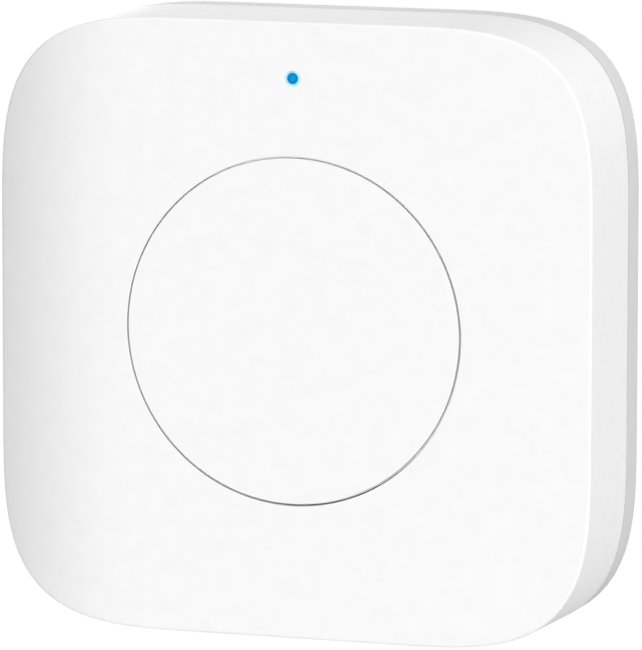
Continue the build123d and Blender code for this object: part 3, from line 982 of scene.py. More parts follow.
    def add_posts(self, work: Piece) -> None:
        """Adds the screw posts with their holes and the posts with the locating pins.

        Args:
            work: The front cover.
        """
        top = self.board_front
        end, rise = (self.post * share for share in self.post_tip)
        post = [(end, top), (self.post, top + rise), (self.post, self.ceiling - self.post * self.post_flare),
                (self.post_foot, self.ceiling), (self.post_foot, self.over_ceiling)]
        lead, sink = (self.screw_hole * share for share in self.hole_lead)
        hole = [(lead, top - OVERRUN), (lead, top), (self.screw_hole, top + sink),
                (self.screw_hole, top + self.screw_depth)]
        tip = self.board_back - self.pin_tip
        nose, slope = (self.pin * share for share in self.pin_nose)
        pin = [(nose, tip), (self.pin, tip + slope), (self.pin, top + self.post / 5)]
        for place in self.post_places + self.pin_places:
            work.add(Piece.turned("post", post, place, SMALL_SIDES))
        for place in self.post_places:
            work.cut(Piece.turned("screw_hole", hole, place, SMALL_SIDES))
        for place in self.pin_places:
            work.add(Piece.turned("locating_pin", pin, place, SMALL_SIDES))

    def add_sleeve(self, work: Piece) -> None:
        """Adds the sleeve of the light pipe and bores it through the face.

        Args:
            work: The front cover.
        """
        bore = LIGHT.half_across + self.light_gap
        tip = LightPipe.tip + self.light_gap
        work.add(Piece.pin("sleeve", bore + self.sleeve_wall, (self.collar_end, self.over_ceiling),
                           LIGHT.middle))
        steps = [(bore, self.collar_end - OVERRUN), (bore, self.ceiling), (tip, self.ceiling),
                 (tip, self.face + OVERRUN)]
        work.cut(Piece.turned("bore", steps, LIGHT.middle, SMALL_SIDES))
        work.bevel_edges(circle_at(self.face, tip, LIGHT.middle), self.opening_edge / 2, 2)

    def add_ribs(self, work: Piece) -> None:
        """Adds the ribs that carry the board's edge: one left and right, two at the top and bottom.

        Args:
            work: The front cover.
        """
        inner = self.board_half - self.rib_bearing
        outer = self.cavity + self.wall / 2
        for turn in QUARTERS:
            for offset in (0,) if turn in (0, 180) else (-self.rib_spread, self.rib_spread):
                rib = Piece.block("rib", (inner, outer), around(offset, self.rib),
                                  (self.board_front, self.over_ceiling))
                rib.bevel_edges(lambda a, b: max(a.x, b.x) < inner + OVERRUN and not stands(a, b),
                                self.rib_edge, 2)
                work.add(rib.moved(turn=turn))

    def cut_pockets(self, work: Piece) -> None:
        """Cuts the pockets that take the barbs of the snap arms.

        Args:
            work: The front cover.
        """
        low = self.arm_top - self.barb_height - self.fit
        for turn, offset in self.arms:
            pocket = Piece.block("pocket", (self.cavity - OVERRUN, self.arm_face + self.pocket),
                                 around(offset, self.arm_width + 2 * self.fit),
                                 (low, self.arm_top + self.fit))
            work.cut(pocket.moved(turn=turn))

    def build_rear(self) -> None:
        """Models the rear cover: tray, lip, snap arms, ridge, ribs and pry notch."""
        top = self.parting - self.parting_gap
        lip_top = self.parting + self.lip
        work = self.form.slab("rear_cover", self.half, (self.back, top))
        work.bevel_edges(rim_at(self.back), self.base_edge, 6)
        work.bevel_edges(rim_at(top), self.parting_edge, 2)
        lip = self.form.slab("lip", self.rebate - self.fit, (self.floor, lip_top))
        work.add(lip.bevel_edges(rim_at(lip_top), self.fit * 1.5, 2))
        work.cut(self.form.slab("inside", self.cavity, (self.floor, lip_top + OVERRUN)))
        work.cut(Piece.pin("recess", self.pad_recess, (self.back - OVERRUN, self.back + self.pad_depth),
                           sides=ROUND_SIDES))
        self.add_ridge(work)
        for turn, offset in self.arms:
            work.add(self.snap_arm(offset).moved(turn=turn))
        notch = Piece.block("notch", around(0, self.notch_width),
                            (-self.half - OVERRUN, -self.half + self.notch_depth),
                            (top - self.notch_height, top + OVERRUN))
        notch.bevel_edges(lambda a, b: stands(a, b) and min(a.z, b.z) > -self.half, self.notch_depth / 2, 4)
        work.cut(notch)
        work.finished(BASE_WHITE, "rear_cover", body=Body.BASE)

    def add_ridge(self, work: Piece) -> None:
        """Adds the square ridge under the cell and the two ribs beside it.

        Args:
            work: The rear cover.
        """
        across, up = CELL.middle
        half = self.ridge_side / 2
        core = self.ridge_side - 2 * self.ridge_wall
        top = self.floor + self.ridge_height
        ridge = Piece.block("ridge", around(across, self.ridge_side), around(up, self.ridge_side),
                            (self.under_floor, top))
        work.add(ridge.bevel_edges(stands, self.ridge_wall, 4))
        work.cut(Piece.block("core", around(across, core), around(up, core), (self.floor, top + OVERRUN)))
        for side in SIDES:
            ends = (side * (half - self.ridge_wall / 2), side * (self.cavity + self.wall / 4))
            work.add(Piece.block("floor_rib", ends, around(up, self.rib), (self.under_floor, top)))

    def snap_arm(self, offset: float) -> Piece:
        """Models one snap arm on the right-hand side.

        Args:
            offset: Its place up the side.

        Returns:
            The piece.
        """
        inner = self.arm_face - self.arm_thickness
        up = around(offset, self.arm_width)
        arm = Piece.block("snap_arm", (inner, self.arm_face), up, (self.under_floor, self.arm_top))
        arm.bevel_edges(lambda a, b: stands(a, b) and a.x < inner + OVERRUN, self.arm_edge, 3)
        barb = Piece.block("barb", around(self.arm_face, 2 * self.barb), up,
                           (self.arm_top - self.barb_height, self.arm_top))
        barb.tapered(looks_out, (self.barb_tip, 1, 1), (self.arm_face - self.barb, 0, 0))
        return arm.add(barb)

    def build_pad(self) -> None:
        """Models the round foam pad with its soft edge."""
        pad = Extent.of("adhesive_pad")
        film = self.pad_film
        radius = pad.half_across
        waist = radius * self.pad_waist
        low, high = inside(pad.out, film * self.pad_bevel)
        steps = [(radius, pad.back), (radius, pad.back + film), (waist, low), (waist, high),
                 (radius, pad.front - film), (radius, pad.front)]
        work = Piece.turned("adhesive_pad", steps).softened(film / 4)
        part = work.finished(ADHESIVE_FOAM, "adhesive_pad", body=Body.BASE)


@dataclass
class PushCap:
    """The round push cap with its skirt, catches, key, ribs and boss."""

    wall: float = 1.4  # Thickness of its face
    skirt_wall: float = 1.0  # Thickness of its skirt
    skirt_height: float = 1.4  # How far the skirt reaches in behind the face
    edge: float = 0.06  # Width of the round at the edge of its face
    lip_depth: float = 0.58  # How deep the fine lip lies in the gap round the cap
    lip_reach: float = 0.09  # Its reach and its height
    boss: float = 1.5  # Radius of the boss over the switch
    boss_tip: Place = (0.9, 0.1)  # Radius and height of its bevelled tip, as shares of its radius
    boss_gap: float = 0.02  # Clearance between boss and plunger
    rib: float = 0.8  # Thickness of the ribs
    rib_height: float = 0.6  # Their height
    ribs: int = 6  # Their number
    first: float = 90.0  # Turn of the first rib and the first catch
    catches: int = 3  # Number of the catches that hold the cap behind the collar
    catch_width: float = 4.0  # Width of a catch
    catch_height: float = 0.7  # Its height
    catch_reach: float = 0.75  # How far it stands out from the skirt
    key_width: float = 1.6  # Width of the key
    key_reach: float = 0.6  # How far it stands out from the skirt
    key_top: float = 1.65  # How deep it ends under the face
    key_angle: float = 30.0  # Its turn
    lead: float = 0.998  # Where its outline starts, as a share of the hollow's radius
    inlay: float = 0.03  # How far joined pieces lie inside the skirt's surfaces
    play: float = 0.025  # How far the cap sits off the middle, towards the left
    rise: float = 0.0175  # How far it sits off the middle, upwards

    def __post_init__(self) -> None:
        """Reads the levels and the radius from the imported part."""
        extent = Extent.of("button_cap")
        self.low, self.face = extent.out
        self.radius = extent.half_across
        self.inner = self.radius - self.skirt_wall
        self.under = self.face - self.wall
        self.skirt_end = self.under - self.skirt_height

    def build(self) -> None:
        """Models the cap."""
        radius, lip, wide = self.radius, self.face - self.lip_depth, self.radius + self.lip_reach
        start = self.inner * self.lead
        steps = [(start, self.skirt_end), (radius, self.skirt_end), (radius, lip - self.lip_reach),
                 (wide, lip - self.lip_reach), (wide, lip), (radius, lip), (radius, self.face)]
        work = Piece.turned("button_cap", steps)
        work.bevel_edges(circle_at(self.face, radius), self.edge, 3)
        hollow = (self.skirt_end - OVERRUN, self.under)
        work.cut(Piece.pin("hollow", self.inner, hollow, sides=ROUND_SIDES))
        for step in range(self.catches):
            work.add(self.catch(self.first + 360 * step / self.catches))
        key = Piece.block("key", (radius - self.skirt_wall / 2, radius + self.key_reach),
                          around(0, self.key_width),
                          (self.skirt_end + self.inlay, self.face - self.key_top))
        work.add(key.moved(turn=self.key_angle))
        sunk = self.under + self.wall / 3
        for step in range(self.ribs):
            rib = Piece.block("rib", (self.boss / 2, self.inner + self.skirt_wall / 3),
                              around(0, self.rib), (self.under - self.rib_height, sunk))
            work.add(rib.moved(turn=self.first + 360 * step / self.ribs))
        top = Extent.of("switch_plunger").front + self.boss_gap
        end, rise = (self.boss * share for share in self.boss_tip)
        boss = [(end, top), (self.boss, top + rise), (self.boss, sunk)]
        work.add(Piece.turned("boss", boss, sides=SMALL_SIDES))
        work.moved(across=-self.play, up=self.rise)
        work.finished(CAP_WHITE, "button_cap", body=Body.BUTTON)

    def catch(self, turn: float) -> Piece:
        """Models one catch as a piece of a ring.

        Args:
            turn: Its turn in degrees.

        Returns:
            The piece.
        """
        reach, stem = self.radius + self.catch_reach, self.radius - self.inlay
        top, end = self.low + self.catch_height, self.skirt_end + self.skirt_wall / 3
        low = self.low - OVERRUN
        ring = Piece.turned("catch", [(reach, self.low), (reach, top), (stem, top), (stem, end)])
        ring.cut(Piece.pin("bore", self.inner + self.inlay, (low, end + OVERRUN), sides=ROUND_SIDES))
        span = Piece.block("span", (self.radius / 2, self.radius * 2), around(0, self.catch_width),
                           (low, self.face))
        return ring.trim(span.moved(turn=turn))


@dataclass
class LightPipe:
    """The clear pin that carries the indicator's light to the face."""

    tip: float = 0.475  # Radius of its tip
    stem: float = 0.7  # Radius of its stem
    stem_end: Place = (0.85, 0.15)  # Radius and height of the stem's bevelled end, as shares of that radius
    shoulder_height: float = 1.0  # Height of the shoulder that it rests with behind the face
    face_wall: float = 1.5  # Thickness of the face there
    edge: float = 0.02  # Width of its rounds

    def build(self) -> None:
        """Models the light pipe."""
        ceiling = LIGHT.front - self.face_wall
        low = ceiling - self.shoulder_height
        shoulder = LIGHT.half_across
        end, rise = (self.stem * share for share in self.stem_end)
        steps = [(end, LIGHT.back), (self.stem, LIGHT.back + rise), (self.stem, low), (shoulder, low),
                 (shoulder, ceiling), (self.tip, ceiling), (self.tip, LIGHT.front)]
        work = Piece.turned("light_pipe", steps, LIGHT.middle, SMALL_SIDES)
        work.softened(self.edge).finished(LIGHT_BLUE, "light_pipe")


@dataclass
class Board:
    """The circuit board with its plated holes, vias, tracks and printed antenna."""

    case: Case  # The case, for the outline and the places of the posts
    screw_hole: float = 0.9  # Radius of the screw holes
    pin_hole: float = 0.7  # Radius of the holes for the locating pins
    ring: Place = (1.36, 1.85)  # Inner and outer radius of the plated ring round a screw hole
    copper: float = 0.03  # Height of the copper on the board
    track: float = 0.3  # Width of a track
    via: float = 0.3  # Radius of a via
    edge: float = 0.06  # Width of the rounds along the board's edges
    # Points of the tracks on the back
    back_tracks: tuple = (
        ((-11.0, 14.0), (-11.0, 11.2), (-9.4, 9.6), (-9.4, 8.6)), ((5.8, 11.5), (4.6, 11.5), (1.7, 8.6)),
        ((9.2, 11.5), (11.2, 9.5), (11.2, 8.0)), ((-13.6, -4.5), (-15.4, -2.7), (-15.4, 5.2)),
        ((13.2, -4.5), (15.2, -2.5), (15.2, 3.4)), ((-1.6, 7.1), (-3.6, 7.1), (-6.0, 9.5), (-6.0, 11.6)),
        ((12.6, 6.4), (15.8, 9.6), (15.8, 10.4)), ((-12.6, 7.2), (-14.6, 9.2), (-16.4, 9.2)),
        ((-12.0, -12.4), (-8.8, -15.6), (8.4, -15.6)),
    )
    # Places of the vias on the back
    back_vias: tuple = (
        (-9.4, 8.6), (1.7, 8.6), (11.2, 8.0), (-13.6, -4.5), (-15.4, 5.2), (13.2, -4.5), (15.2, 3.4),
        (-6.0, 11.6), (12.6, 6.4), (15.8, 10.4), (-12.6, 7.2), (-16.4, 9.2), (-12.0, -12.4), (8.4, -15.6),
        (2.0, 16.4), (6.6, 15.4),
    )
    # Points of the tracks on the front
    front_tracks: tuple = (
        ((-6.5, 1.0), (-5.3, 2.25), (-4.1, 2.25)), ((-6.5, -1.0), (-5.3, -2.25), (-4.1, -2.25)),
        ((4.1, 2.25), (5.6, 2.25), (7.4, 4.05), (7.4, 5.0)),
        ((4.1, -2.25), (5.6, -2.25), (7.4, -4.05), (7.4, -5.0)),
        ((-8.0, 2.5), (-8.0, 3.7)), ((-9.8, -2.5), (-9.8, -3.7)),
        ((-0.8, 18.3), (-5.0, 14.1), (-5.0, 8.0), (-6.4, 6.6)),
        ((0.8, 18.3), (4.6, 14.5), (4.6, 9.1), (7.4, 6.3)),
        ((-11.5, 0.8), (-14.6, 3.9), (-14.6, 7.6)), ((-11.5, -0.8), (-14.6, -3.9), (-14.6, -8.4)),
        ((13.6, -5.1), (15.4, -3.3), (15.4, 4.0)), ((13.6, 6.2), (15.8, 8.4), (15.8, 9.6)),
        ((7.6, -3.0), (7.6, -2.5)), ((7.6, -1.3), (7.6, 1.3)), ((9.5, 2.5), (9.5, 5.1)),
        ((9.5, -5.1), (9.5, -2.5)), ((11.4, -1.3), (11.4, 1.3)), ((13.3, -1.3), (13.3, 1.3)),
        ((11.4, 6.3), (11.4, 8.6), (9.4, 10.6)),
    )
    # Places of the vias on the front
    front_vias: tuple = (
        (-6.4, 6.6), (-14.6, 7.6), (-14.6, -8.4), (15.4, 4.0), (15.8, 9.6), (9.4, 10.6), (-2.0, -12.0),
        (2.0, -13.2), (7.6, -3.0), (-8.4, 12.0), (6.0, -10.4),
    )
    antenna_width: float = 0.6  # Width of the antenna's track
    antenna_leg: float = 3.2  # Height of its bends
    antenna_pitch: float = 1.3  # Distance from bend to bend
    antenna_turns: int = 9  # Number of its bends

    def build(self) -> None:
        """Models the board and what is printed on it."""
        case, extent = self.case, Extent.of("circuit_board")
        work = case.form.slab("circuit_board", extent.half_across, extent.out)
        work.bevel_edges(lambda a, b: not stands(a, b), self.edge, 1)
        for radius, places in ((self.screw_hole, case.post_places), (self.pin_hole, case.pin_places)):
            for place in places:
                work.cut(Piece.pin("hole", radius, inside(extent.out, -OVERRUN), place))
        work.dressed(BOARD_GREEN).dressed(BOARD_CORE, lambda middle, normal: abs(normal.y) < SIDEWAYS)
        work.finished(BOARD_GREEN, "circuit_board")
        self.print_tracks()
        self.print_antenna()

    def print_tracks(self) -> None:
        """Lays tracks under the green lacquer, and vias and plated rings beside them."""
        back, front = self.case.board_back, self.case.board_front
        layers = ((self.back_tracks, self.back_vias, (back - self.copper, back)),
                  (self.front_tracks, self.front_vias, (front, front + self.copper)))
        tracks, vias = [], []
        for layout, places, out in layers:
            tracks += [Piece.strip("tracks", points, self.track, out, flat=True) for points in layout]
            vias += [self.plated(place, out, self.via / 2, self.via) for place in places]
        vias += [self.plated(place, layers[0][2], *self.ring) for place in self.case.post_places]
        tracks[0].gather(*tracks[1:]).finished(TRACK_GREEN, slot="board_green")
        vias[0].gather(*vias[1:]).finished(COPPER)

    def plated(self, place: Place, out: Span, inner: float, outer: float) -> Piece:
        """Models a plated ring, a little higher than the copper beside it."""
        return Piece.tube("vias", outer, inner, inside(out, -self.copper / 3), place, TINY_SIDES)

    def print_antenna(self) -> None:
        """Lays the meander of the antenna with its feed pad."""
        extent, width, pitch = Extent.of("antenna_track"), self.antenna_width, self.antenna_pitch
        across, up = extent.low.x + width / 2, extent.low.z + width / 2
        points = [(across, up)]
        for turn in range(self.antenna_turns):
            end = up + (0 if turn % 2 else self.antenna_leg)
            points += [(across + turn * pitch, end), (across + (turn + 1) * pitch, end)]
        out = (extent.back, self.case.board_back)
        work = Piece.strip("antenna_track", points, width, out, flat=True)
        pad = Piece.block("feed", around(across, 2 * width), (up - width, up + width / 3), out)
        work.add(pad).finished(COPPER, "antenna_track")


@dataclass
class BoardParts:
    """The small electronic parts soldered to the board."""

    pitch: float = 1.9  # Distance between the small parts
    rows: int = 4  # Number of small parts in a row
    row_lengths: float = 7.75  # Length of a row in lengths of its parts
    edge: float = 0.06  # Width of the rounds on moulded parts
    fine_edge: float = 0.02  # Width of the rounds on the small parts' bodies
    lens_edge: float = 0.108  # Width of the rounds on the light's clear top
    lid_edge: float = 0.027  # Width of the rounds on a crystal's lid
    cap_share: float = 0.2  # Share of a small part's length that each metal end takes
    waist: float = 0.94  # Width of a small part between its ends, as a share of theirs
    dimple: float = 0.3  # Radius of the mark at the chip's first pad
    mark_place: float = 0.72  # Its place, as a share of the chip's half side
    pads: int = 8  # Number of pads along each side of the chip
    pad: float = 0.28  # Width of a pad
    pad_pitch: float = 0.532  # Distance from pad to pad
    seam: float = 0.45  # Level of a crystal's lid, as a share of its height
    body_edge: float = 0.16  # Width of the rounds on the large capacitor
    stripe: float = 0.55  # Where its stripe starts, as a share of its half length
    leg: float = 0.12  # Thickness of its folded ends
    leg_width: float = 1.8  # Their width
    leg_height: float = 1.2  # Their height
    leg_reach: float = 0.8  # How far they reach over its top
    leg_bend: float = 0.08  # Radius of their bends

    def build(self) -> None:
        """Models all of them."""
        self.build_light()
        self.build_chip()
        self.build_crystal("radio_crystal")
        self.build_crystal("clock_crystal")
        self.build_small_parts("capacitors", CAPACITOR_BROWN)
        self.build_small_parts("resistors", RESISTOR_BLACK)
        self.build_reservoir()

    def boxed(self, name: str, box: Extent, margin: float = 0.0, out: Optional[Span] = None) -> Piece:
        """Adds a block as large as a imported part, less a margin at each side, between two levels."""
        return Piece.block(name, inside(box.across, margin), inside(box.up, margin), out or box.out)

    def build_light(self) -> None:
        """Models the indicator light: base, metal ends and clear top."""
        box = Extent.of("indicator_led")
        margin = self.edge / 2
        work = self.boxed("indicator_led", box, margin).softened(margin).dressed(LED_WHITE)
        out = (box.back, box.front - self.edge)
        for end, side in zip(box.across, SIDES):
            pad = Piece.block("end", (end, end - side * self.pad), box.up, out)
            work.gather(pad.softened(self.edge / 3).dressed(SOLDER))
        work.finished(LED_WHITE, "indicator_led")
        lens = self.boxed("led_lens", Extent.of("led_lens")).softened(self.lens_edge, 4)
        lens.finished(LED_CLEAR, "led_lens")

    def build_chip(self) -> None:
        """Models the radio chip with its pads and the mark at the first of them."""
        box = Extent.of("radio_chip")
        across, up = box.middle
        half = box.half_across
        work = self.boxed("radio_chip", box, self.edge / 2).softened(self.edge).dressed(CHIP_BLACK)
        mark = (across - half * self.mark_place, up + half * self.mark_place)
        steps = [(self.dimple * 0.8, box.front - self.edge), (self.dimple, box.front + OVERRUN)]
        work.cut(Piece.turned("mark", steps, mark, SMALL_SIDES))
        out = (box.back, box.back + self.pad / 2)
        for turn in QUARTERS:
            for step in range(self.pads):
                place = (step - (self.pads - 1) / 2) * self.pad_pitch
                pad = Piece.block("pad", (half - self.pad, half), around(place, self.pad), out)
                work.gather(pad.dressed(SOLDER).moved(turn=turn).moved(across, up))
        work.finished(CHIP_BLACK, "radio_chip")

    def build_crystal(self, node: str) -> None:
        """Models a crystal: ceramic base, rim and pressed metal lid.

        Args:
            node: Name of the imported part.
        """
        box = Extent.of(node)
        seam = box.back + (box.front - box.back) * self.seam
        work = self.boxed(node, box, out=(box.back, seam)).softened(self.edge).dressed(CERAMIC)
        for border, top in ((self.edge, seam + self.edge), (self.edge * 3, box.front)):
            lid = self.boxed("lid", box, border, (seam, top))
            work.gather(lid.softened(self.lid_edge, 3).dressed(CRYSTAL_LID))
        work.finished(CERAMIC, node, slot="crystal_lid")

    def build_small_parts(self, node: str, finish: Finish) -> None:
        """Models two rows of small parts with metal ends.

        Args:
            node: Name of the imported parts.
            finish: Finish of their bodies.
        """
        box = Extent.of(node)
        length = 2 * box.half_up / self.row_lengths
        width = length / 2
        inner = length * (0.5 - self.cap_share)
        pieces = []
        for across in inside(box.across, width / 2):
            for step in range(self.rows):
                up = box.low.z + length / 2 + step * 2 * self.pitch
                body = Piece.block(node, around(across, width * self.waist), around(up, 2 * inner),
                                   (box.back, box.front - self.fine_edge))
                pieces.append(body.softened(self.fine_edge).dressed(finish))
                for side in SIDES:
                    cap = Piece.block("cap", around(across, width),
                                      (up + side * inner, up + side * length / 2), box.out)
                    pieces.append(cap.softened(self.edge).dressed(SOLDER))
        pieces[0].gather(*pieces[1:]).finished(finish, node)

    def build_reservoir(self) -> None:
        """Models the large capacitor on the back with its stripe and folded metal ends."""
        box = Extent.of("reservoir_capacitor")
        middle, up = box.middle
        body = inside(box.across, self.leg)
        work = Piece.block("reservoir_capacitor", body, box.up, (box.back, box.front - self.leg_bend))
        work.softened(self.body_edge, 3)
        stripe = middle + (body[0] - middle) * self.stripe
        work.edit()
        bpy.ops.mesh.bisect(plane_co=(stripe, 0, 0), plane_no=(1, 0, 0))
        bpy.ops.object.mode_set(mode="OBJECT")
        work.dressed(RESERVOIR_AMBER).dressed(STRIPE_BROWN, lambda place, normal: place.x < stripe)
        top = box.front - self.leg / 2
        for end, side in zip(box.across, SIDES):
            outer = end - side * self.leg / 2
            points = [(outer, box.front - self.leg_height), (outer, top), (end - side * self.leg_reach, top)]
            leg = Piece.strip("leg", points, self.leg, around(up, self.leg_width), bend=self.leg_bend)
            work.gather(leg.dressed(SOLDER))
        work.finished(RESERVOIR_AMBER, "reservoir_capacitor")


@dataclass
class ClickSwitch:
    """The click switch under the push cap."""

    height: float = 2.0  # Height of its moulded base
    cup: float = 2.4  # Radius of the cup that the dome lies in
    cup_floor: float = 0.7  # Thickness of the floor under the cup
    peg: float = 0.35  # Radius of the four pegs
    peg_inset: float = 0.8  # Distance of each peg from the sides
    # Corners of a peg's head: radius as a share of the peg's, and depth in widths of the rounds
    peg_head: tuple = ((1, 1.5), (0.8, 0.5), (0.4, 0))
    gap: float = 0.05  # Clearance round the plunger and the pegs
    edge: float = 0.1  # Width of its rounds
    dome: float = 0.08  # Thickness of the steel dome
    dome_steps: int = 8  # Number of steps in its curve
    dome_middle: float = 0.02  # Radius of its flat middle, as a share of its own
    dome_left: float = 0.1  # What is left of its rise when it is pressed
    stem: float = 1.7  # Radius of the plunger's stem
    tab_width: float = 3.0  # Width of the frame's folded tabs
    tab_fold: float = 0.7  # Round of their folds, as a share of the frame's thickness
    leg_width: float = 0.7  # Width of each leg
    leg_thickness: float = 0.2  # Its thickness
    leg_height: float = 1.0  # Its height
    leg_foot: float = 1.0  # Length of its foot
    leg_spread: float = 2.25  # Distance of the legs from the middle of their side

    def __post_init__(self) -> None:
        """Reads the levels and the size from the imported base."""
        base = Extent.of("switch_base")
        self.half = base.half_across
        self.span = (-self.half, self.half)
        self.bottom, self.peg_top = base.out
        self.top = self.bottom + self.height
        places = inside(self.span, self.peg_inset)
        self.pegs = [(across, up) for across in places for up in places]

    def build(self) -> None:
        """Models the whole switch."""
        self.build_base()
        self.build_frame()
        self.build_dome()
        self.build_plunger()
        self.build_legs()

    def build_base(self) -> None:
        """Models the moulded base with its cup and riveted pegs."""
        work = Piece.block("switch_base", self.span, self.span, (self.bottom, self.top))
        work.bevel_edges(stands, self.edge * 3, 4)
        work.softened(self.edge / 3, segments=1, angle=60)
        cup = (self.bottom + self.cup_floor, self.top + OVERRUN)
        work.cut(Piece.pin("cup", self.cup, cup, sides=ROUND_SIDES))
        head = [(self.peg * share, self.peg_top - self.edge * depth) for share, depth in self.peg_head]
        peg = [(self.peg, self.top - self.edge)] + head
        for place in self.pegs:
            work.add(Piece.turned("peg", peg, place, TINY_SIDES))
        work.finished(SWITCH_BLACK, "switch_base")

    def build_frame(self) -> None:
        """Models the steel plate with its two folded tabs."""
        box = Extent.of("switch_frame")
        thickness = box.front - self.top
        rim = rim_at(box.front)
        work = Piece.block("switch_frame", self.span, self.span, (self.top, box.front))
        work.bevel_edges(stands, self.edge * 3, 4)
        for side in SIDES:
            edge = side * self.half
            tab = Piece.block("tab", around(0, self.tab_width),
                              (edge - side * self.edge, edge + side * thickness), box.out)
            tab.cut(Piece.block("under", self.span, (0, edge), (0, self.top)))
            tab.bevel_edges(lambda a, b: rim(a, b) and abs(a.z) > self.half and abs(a.z - b.z) < SLACK,
                            thickness * self.tab_fold, 4)
            work.add(tab)
        hole = (self.top - OVERRUN, Extent.of("switch_plunger").front)
        work.cut(Piece.pin("hole", self.stem + self.gap, hole))
        for place in self.pegs:
            work.cut(Piece.pin("hole", self.peg + self.gap, hole, place))
        work.finished(FRAME_STEEL, "switch_frame")

    def build_dome(self) -> None:
        """Models the thin snap dome in its resting shape; the real one flattens as the cap is pressed."""
        box = Extent.of("switch_dome")
        crown, rim = box.front - box.back - self.dome, box.back
        shares = [step / self.dome_steps for step in range(self.dome_steps + 1)]
        inner = [(box.half_across * max(share, self.dome_middle), rim + crown * (1 - share ** 2))
                 for share in shares]
        outer = [(radius, level + self.dome) for radius, level in reversed(inner)]
        work = Piece.turned("switch_dome", inner + outer, sides=SMALL_SIDES * 2)
        dome = work.finished(DOME_STEEL, "switch_dome")
        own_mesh(dome)

    def build_plunger(self) -> None:
        """Models the round plunger with its flange."""
        box = Extent.of("switch_plunger")
        flange, shoulder = box.half_across, self.top - self.gap
        steps = [(self.stem, box.back), (flange, box.back + self.edge), (flange, shoulder),
                 (self.stem, shoulder), (self.stem, box.front - self.edge),
                 (self.stem - self.edge, box.front)]
        work = Piece.turned("switch_plunger", steps)
        work.finished(PLUNGER_BLACK, "switch_plunger", body=Body.PLUNGER)

    def build_legs(self) -> None:
        """Models the four legs."""
        thickness = self.leg_thickness
        side, low = self.half + thickness / 2, self.bottom + thickness / 2
        points = [(side, self.bottom + self.leg_height), (side, low), (side + self.leg_foot, low)]
        legs = []
        for turn in (0, 180):
            for spread in (-self.leg_spread, self.leg_spread):
                leg = Piece.strip("switch_terminals", points, thickness, around(spread, self.leg_width),
                                  bend=thickness / 2)
                legs.append(leg.moved(turn=turn))
        legs[0].gather(*legs[1:]).finished(TERMINAL_TIN, "switch_terminals")


@dataclass
class BoardScrews:
    """The two small screws that hold the board to its posts."""

    case: Case  # The case, for the places of the posts
    head: float = 1.3  # Radius of the head
    head_height: float = 0.9  # Its height
    shank: float = 0.7  # Radius of the thread
    core: float = 0.56  # Radius between its turns
    pitch: float = 0.3  # Distance from turn to turn
    crest: float = 0.4  # Where a turn is highest, as a share of the pitch
    plain: float = 1.5  # Length of the tip without a thread, in lengths of the pitch
    # The domed head: radius as a share of its own, and how far up the head each corner lies
    dome: tuple = ((0.62, 0), (0.86, 0.1), (0.97, 0.28), (1, 0.5), (1, 1))
    slot_length: float = 1.5  # Length of the cross
    slot_width: float = 0.34  # Width of its slots
    slot_depth: float = 0.45  # Its depth

    def build(self) -> None:
        """Models both screws."""
        seat = self.case.board_back
        under = seat - self.head_height
        slot = (under - OVERRUN, under + self.slot_depth)
        screws = []
        for place in self.case.post_places:
            screw = Piece.turned("board_screws", self.outline(seat), place, SMALL_SIDES)
            for sides in ((self.slot_length, self.slot_width), (self.slot_width, self.slot_length)):
                screw.cut(Piece.block("slot", *(around(*pair) for pair in zip(place, sides)), slot))
            screws.append(screw)
        screws[0].gather(screws[1]).finished(SCREW_STEEL, "board_screws")

    def outline(self, seat: float) -> list[Place]:
        """Outline of a screw from its head to its tip, with the thread as rings.

        Args:
            seat: Level of the board under the head.

        Returns:
            Corners of the outline.
        """
        tip = Extent.of("board_screws").front
        steps = [(self.head * share, seat - self.head_height * (1 - rise)) for share, rise in self.dome]
        steps.append((self.core, seat))
        level = seat + self.pitch
        climb = self.pitch * self.crest
        while level < tip - self.pitch * self.plain:
            steps += [(self.core, level), (self.shank, level + climb), (self.core, level + 2 * climb)]
            level += self.pitch
        return steps + [(self.core, tip - self.pitch), (self.core / 2, tip)]


